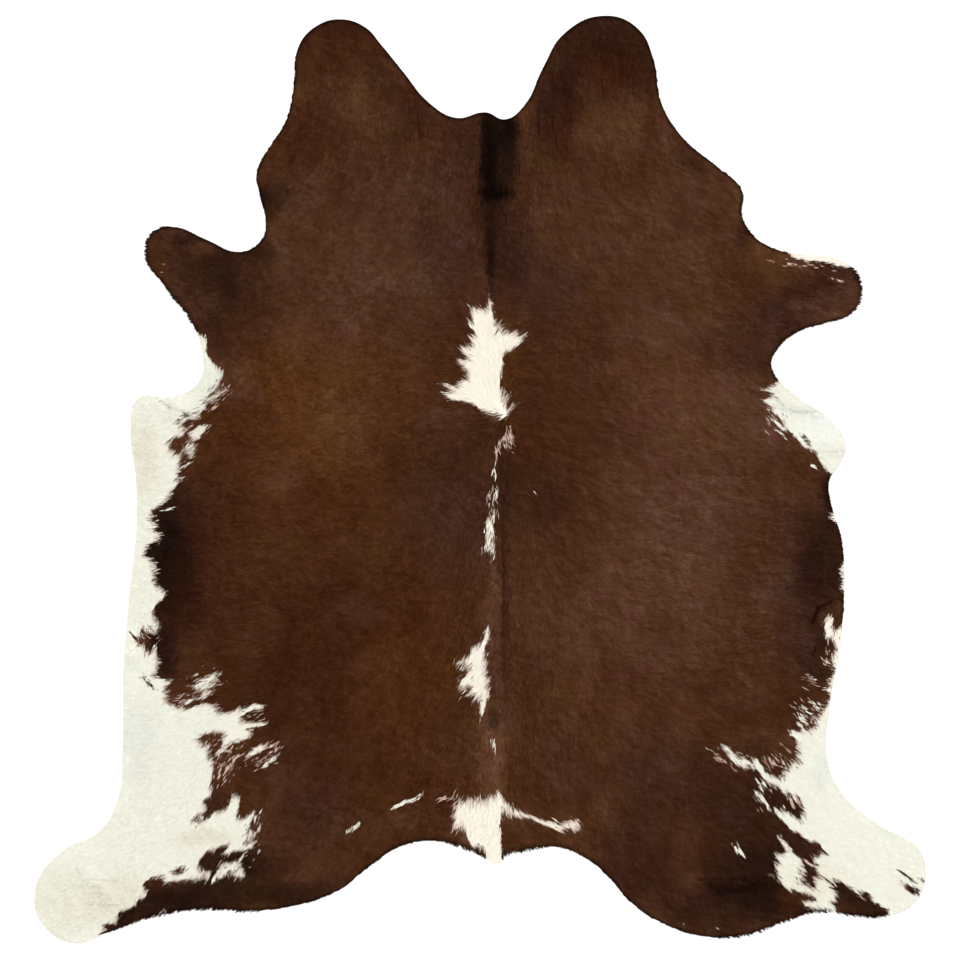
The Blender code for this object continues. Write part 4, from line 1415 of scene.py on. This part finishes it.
def lock_tree():
    """Geometry nodes that grow a lock of hair on each root, as its attributes say."""
    tree = group_with(
        "hair_locks", "GeometryNodeTree",
        [("Roots", "Geometry", None), ("Root Width", "Float", ROOT_WIDTH), ("Arch", "Float", LOCK_ARCH),
         ("Cells Across", "Int", CELLS_ACROSS), ("Hair", "Material", None)],
        [("Locks", "Geometry", None)],
    )
    given = add(tree, "NodeGroupInput").outputs
    turn = add(tree, "FunctionNodeEulerToRotation", {0: named(tree, "lie", "FLOAT_VECTOR")})
    placed = add(tree, "GeometryNodeInstanceOnPoints", {
        "Points": given["Roots"],
        "Instance": unit_lock(tree, given),
        "Rotation": turn.outputs[0],
        "Scale": named(tree, "size", "FLOAT_VECTOR"),
    })
    locks = add(tree, "GeometryNodeRealizeInstances", {0: placed.outputs[0]}).outputs[0]

    # Each tip bends aside, and each lock has its own cell of the texture map.
    along = named(tree, "along", "FLOAT")
    sway = named(tree, "sway", "FLOAT_VECTOR")
    bend = vector_maths(tree, "SCALE", {0: sway, "Scale": maths(tree, "MULTIPLY", along, along)})
    locks = add(tree, "GeometryNodeSetPosition", {"Geometry": locks, "Offset": bend}).outputs[0]
    cell_across = maths(tree, "MULTIPLY_ADD", named(tree, "across", "FLOAT"), *IN_CELL_ACROSS)
    cell_along = maths(tree, "MULTIPLY_ADD", along, *IN_CELL_ALONG)
    in_cell = combined(tree, cell_across, cell_along, 0.0)
    corner = vector_maths(tree, "ADD", {0: named(tree, "cell", "FLOAT_VECTOR"), 1: in_cell})
    cell_size = maths(tree, "DIVIDE", 1.0, given["Cells Across"])
    mapped = vector_maths(tree, "SCALE", {0: corner, "Scale": cell_size})
    locks = stored(tree, locks, "OFBake", mapped, "FLOAT2", "CORNER")
    locks = add(tree, "GeometryNodeSetShadeSmooth", {0: locks}).outputs[0]
    locks = add(tree, "GeometryNodeSetMaterial", {"Geometry": locks, "Material": given["Hair"]})
    add(tree, "NodeGroupOutput", {"Locks": locks.outputs[0]})
    return tree


class Tufts:
    """The tufts that the locks gather into: where each grows, where it points and its colours."""

    def __init__(self, hide):
        draw = np.random.default_rng(TUFT_SEED)
        roots = lattice(hide.low, hide.high, TUFT_SPACING)
        roots = roots + draw.uniform(-TUFT_JITTER, TUFT_JITTER, roots.shape) * TUFT_SPACING
        count = len(roots)
        self.points = to_template(roots)
        coarse, fine = WANDER_SPANS
        wander = noise_at(self.points, coarse, WANDER_SEED)
        wander = HEADING_WANDER * (wander + FINE_WANDER * noise_at(self.points, fine, WANDER_SEED + 1))
        spread = draw.normal(0.0, HEADING_SPREAD, count)
        lie = flow(self.points)
        self.directions = turned(lie, wander + spread)
        self.roll = draw.normal(0.0, TUFT_ROLL, count)
        flecks = (draw.uniform(0.0, 1.0, count) < FLECK_SHARE) * draw.uniform(*FLECK_RANGE, count)
        self.brightness = draw.normal(0.0, 1.0, count) + flecks
        self.brown = brown_colours(self.points, lie)
        self.cream = cream_colours(self.points, lie)
        self.shift = draw.normal(0.0, TUFT_SHIFT, count)
        self.tree = place_tree(roots)


def overhang_allowed(points):
    """How far hair may pass the cut edge near each point, in metres."""
    allowed = np.full(len(points), OVERHANG)
    for row in rows_of(FUZZY_EDGES, FUZZY_COLUMNS):
        away = np.linalg.norm(points - np.array([row["across"], row["down"]]), axis=1)
        near = smooth_step(FUZZY_HOLD * (1.0 - away / (row["reach"] * FUZZY_FADE)))
        allowed = np.maximum(allowed, OVERHANG + (row["overhang"] - OVERHANG) * near)
    return allowed


def lock_pattern(points, tips, number, reach, tufts, place, other):
    """Whether each lock is cream at a place along it, and the wisp that it lies on there."""
    along = place[:, None]
    own_place = points + (tips - points) * along
    tuft_place = tufts.points[number] + tufts.directions[number] * reach[:, None] * along
    cream = is_cream(own_place + (tuft_place - own_place) * TUFT_PATTERN) ^ other
    wisps = wisp_kinds(own_place)
    return (cream | (wisps == "cream")) & ~(wisps == "brown"), wisps


def coat_colours(points, tips, number, reach, tufts, draw, gaps, shade):
    """Each lock's colours at its root and at its tip, and whether it crosses a border."""
    count = len(points)
    spread = draw.uniform(-PATTERN_SPREAD, PATTERN_SPREAD, count) + tufts.shift[number]
    other = draw.uniform(0.0, 1.0, count) < roan_share(points + (tips - points) * ROAN_PLACE)
    own = draw.normal(0.0, 1.0, count)
    browns = lightened(tufts.brown[number], BROWN_SPREAD * own + TUFT_SPREAD * tufts.brightness[number])
    creams = tufts.cream[number] * np.exp(CREAM_SPREAD * own)[:, None]
    plain = draw.uniform(0.0, 1.0, count) < PLAIN_SHARE
    plain_place = draw.uniform(0.0, 1.0, count)
    patterns = []
    for share in PATTERN_PLACES:
        place = np.where(plain, plain_place, share) + spread
        patterns.append(lock_pattern(points, tips, number, reach, tufts, place, other))
    mixed = other | (patterns[0][0] != patterns[1][0]) | (is_cream(points) != is_cream(tips))
    blush = draw.uniform(0.0, BLUSH_SHARE, count) * mixed
    blush = np.where(other, ROAN_BLUSH + (1.0 - ROAN_BLUSH) * blush, blush)
    creams = (creams + (linear("blush") - creams) * blush[:, None]) * CREAM_GAIN * shade ** CREAM_FOLLOWS
    creams = creams * np.where(other, ROAN_SHADE, 1.0)[:, None]
    brown_blush = (BROWN_BLUSH * blush ** 2)[:, None]
    browns = (browns + (linear("blush") - browns) * brown_blush) * BROWN_GAIN * shade
    ends = []
    for (cream, wisps), gap in zip(patterns, gaps):
        colours = np.where(cream[:, None], creams, browns)
        for tone in WISP_TONES:
            colours[wisps == tone] = linear(tone) * BROWN_GAIN
        # Painted shade where the hair curves down over the cut edge.
        colours = colours * rim_shade(points, gap, cream)[:, None]
        ends.append(np.minimum(colours, WHITEST))
    return ends, mixed


def kept_in(points, tips, to_rim, hide, draw):
    """Lock tips drawn in where hair may not pass the cut edge, and each tip's distance from that edge."""
    near = np.flatnonzero(to_rim < RIM_REACH)
    places = to_metres(tips[near])
    _, there = hide.heights(places, from_above=True)
    past = hide.to_rim(places)
    allowed = overhang_allowed(points[near]) * draw.uniform(*OVERHANG_SPREAD, len(near))
    share = (to_rim[near] + allowed) / (to_rim[near] + past)
    share = np.where(there, 1.0, share.clip(0.0, 1.0))
    tips[near] = points[near] + (tips[near] - points[near]) * share[:, None]
    tip_gap = np.full(len(points), RIM_REACH)
    tip_gap[near] = np.where(there, past, 0.0)
    return tips, tip_gap


def build_layer(layer, number, hide, tufts, tree, hair):
    """One layer of the coat, as a mesh of locks."""
    draw = np.random.default_rng(LAYER_SEED + number)
    roots = lattice(hide.low, hide.high, LOCK_SPACING)
    roots = roots + draw.uniform(-LOCK_JITTER, LOCK_JITTER, roots.shape) * LOCK_SPACING
    top, there = hide.heights(roots, from_above=True)
    roots = roots[there]
    top = top[there]
    underside, _ = hide.heights(roots, from_above=False)
    count = len(roots)
    points = to_template(roots)
    skin = underside + LEATHER_DEPTH + crease_height(points)
    to_rim = hide.to_rim(roots)
    _, tuft = nearest(tufts.tree, roots)

    length = ((top - underside) * LOCK_PER_DEPTH).clip(SHORTEST_LOCK, LONGEST_LOCK)
    length = length * layer["length"] * (1.0 + LENGTH_SPREAD * draw.uniform(-1.0, 1.0, count))
    directions = turned(tufts.directions[tuft], draw.normal(0.0, LOCK_SPREAD, count))
    reach = length / UNIT
    tips = points + directions * reach[:, None]
    tuft_tips = tufts.points[tuft] + tufts.directions[tuft] * reach[:, None]
    tips = tips + (tuft_tips - tips) * TUFT_GATHER
    tips, tip_gap = kept_in(points, tips, to_rim, hide, draw)

    run = (tips - points) * UNIT
    flat_length = np.linalg.norm(run, axis=1).clip(LEAST_LENGTH, None)
    coat_depth = (top - skin).clip(LEAST_COAT, None)
    rise = coat_depth * draw.uniform(layer["lowest"], layer["highest"], count)
    turn = np.arctan2(-run[:, 1], run[:, 0]) - math.pi / 2.0
    roll = np.radians(tufts.roll[tuft] + draw.normal(0.0, LOCK_ROLL, count))
    width = LOCK_WIDTH * layer["width"] * draw.uniform(*WIDTH_SPREAD, count)
    bend = draw.normal(0.0, BEND_SPREAD, count) * flat_length
    side = np.stack([run[:, 1], run[:, 0]], axis=1) / flat_length[:, None]

    gaps = (to_rim, tip_gap)
    ends, mixed = coat_colours(points, tips, tuft, reach, tufts, draw, gaps, layer["shade"])
    width = width * np.where(mixed, BORDER_WIDTH, 1.0)
    lie = np.where(is_cream(points) & ~mixed, CREAM_LIE, 1.0)
    rise = np.minimum(rise * lie, flat_length * STEEPEST)
    full_length = np.hypot(flat_length, rise)
    index = np.arange(count)
    vectors = {
        "lie": (np.arctan2(rise, flat_length), roll * lie, turn),
        "size": (width, full_length, full_length),
        "sway": (side[:, 0] * bend, side[:, 1] * bend, 0.0 * bend),
        "cell": (index % CELLS_ACROSS, index // CELLS_ACROSS, 0 * index),
    }
    colours = {
        "coat": (ends[0], draw.uniform(0.0, 1.0, count)),
        "coat_tip": (ends[1], np.ones(count)),
    }
    return grow(layer["name"], np.column_stack([roots, skin + ROOT_LIFT]), vectors, colours, tree, hair)


def grow(name, roots, vectors, colours, tree, hair):
    """Runs the geometry nodes on the roots, and keeps their plain mesh."""
    mesh = bpy.data.meshes.new(name)
    mesh.vertices.add(len(roots))
    mesh.vertices.foreach_set("co", roots.ravel())
    for fields, data_type, value_name in (
        (vectors, "FLOAT_VECTOR", "vector"),
        (colours, "FLOAT_COLOR", "color"),
    ):
        for field, values in fields.items():
            made = mesh.attributes.new(field, data_type, "POINT")
            made.data.foreach_set(value_name, np.column_stack(values).astype(np.float32).ravel())
    piece = bpy.data.objects.new(name, mesh)
    bpy.context.scene.collection.objects.link(piece)
    modifier = piece.modifiers.new("hair_locks", "NODES")
    modifier.node_group = tree
    sockets = {item.name: item.identifier for item in tree.interface.items_tree if item.in_out == "INPUT"}
    modifier[sockets["Root Width"]] = ROOT_WIDTH
    modifier[sockets["Arch"]] = LOCK_ARCH
    modifier[sockets["Cells Across"]] = CELLS_ACROSS
    modifier[sockets["Hair"]] = hair
    bake_modifiers(piece)
    for spare in vectors:
        piece.data.attributes.remove(piece.data.attributes[spare])
    return piece


# ================ floor, light and camera
def build_floor():
    """A pale floor that runs out of the picture on every side."""
    mesh = bpy.data.meshes.new("floor")
    shape = bmesh.new()
    bmesh.ops.create_grid(shape, x_segments=1, y_segments=1, size=FLOOR_SIZE / 2.0)
    shape.to_mesh(mesh)
    shape.free()
    floor = bpy.data.objects.new("floor", mesh)
    floor.location.z = FLOOR_HEIGHT
    bpy.context.scene.collection.objects.link(floor)
    material, _, shader = new_material("pale_floor", FLOOR_ROUGHNESS, 0.0)
    shader.inputs["Base Color"].default_value = (FLOOR_SHADE, FLOOR_SHADE, FLOOR_SHADE, 1.0)
    mesh.materials.append(material)


def build_light():
    """An even white sky and two broad suns."""
    world = bpy.data.worlds.new("studio")
    world.use_nodes = True
    background = world.node_tree.nodes["Background"]
    background.inputs["Color"].default_value = (1.0, 1.0, 1.0, 1.0)
    background.inputs["Strength"].default_value = SKY_STRENGTH
    bpy.context.scene.world = world
    for row in rows_of(SUNS, SUN_COLUMNS):
        light = bpy.data.lights.new(row["name"], "SUN")
        light.energy = row["strength"]
        light.angle = math.radians(row["spread"])
        lamp = bpy.data.objects.new(row["name"], light)
        azimuth = math.radians(row["azimuth"])
        elevation = math.radians(row["elevation"])
        level = math.cos(elevation)
        towards = Vector((math.cos(azimuth) * level, math.sin(azimuth) * level, math.sin(elevation)))
        lamp.rotation_mode = "QUATERNION"
        lamp.rotation_quaternion = towards.to_track_quat("Z", "Y")
        bpy.context.scene.collection.objects.link(lamp)
    bpy.context.scene.view_settings.view_transform = "Standard"


def build_camera():
    """Straight above the hide, far enough to take in the whole picture."""
    data = bpy.data.cameras.new("camera")
    data.lens = LENS
    data.sensor_width = SENSOR
    data.clip_end = CLIP_END
    camera = bpy.data.objects.new("camera", data)
    x, y = to_metres(VIEW_MIDDLE)
    camera.location = (x, y, VIEW_WIDTH * UNIT * LENS / SENSOR)
    bpy.context.scene.collection.objects.link(camera)
    bpy.context.scene.camera = camera


# ================ the rug
def main():
    """The whole picture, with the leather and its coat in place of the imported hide."""
    build_camera()
    build_light()
    build_floor()
    merged = merged_hide()
    hide = PackedHide(merged)
    merged.free()
    tufts = Tufts(hide)
    grain = fibre_grain_group()
    hair = hair_material(grain, crease_line_group(), ruffle_shade_group())
    tree = lock_tree()
    pieces = []
    for number, layer in enumerate(rows_of(LAYERS, LAYER_COLUMNS)):
        pieces.append(build_layer(layer, number, hide, tufts, tree, hair))
    leather = build_leather(hide, tufts, leather_materials(grain))

    for piece in [leather] + pieces:
        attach(piece, "root")
        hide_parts("hide")


main()
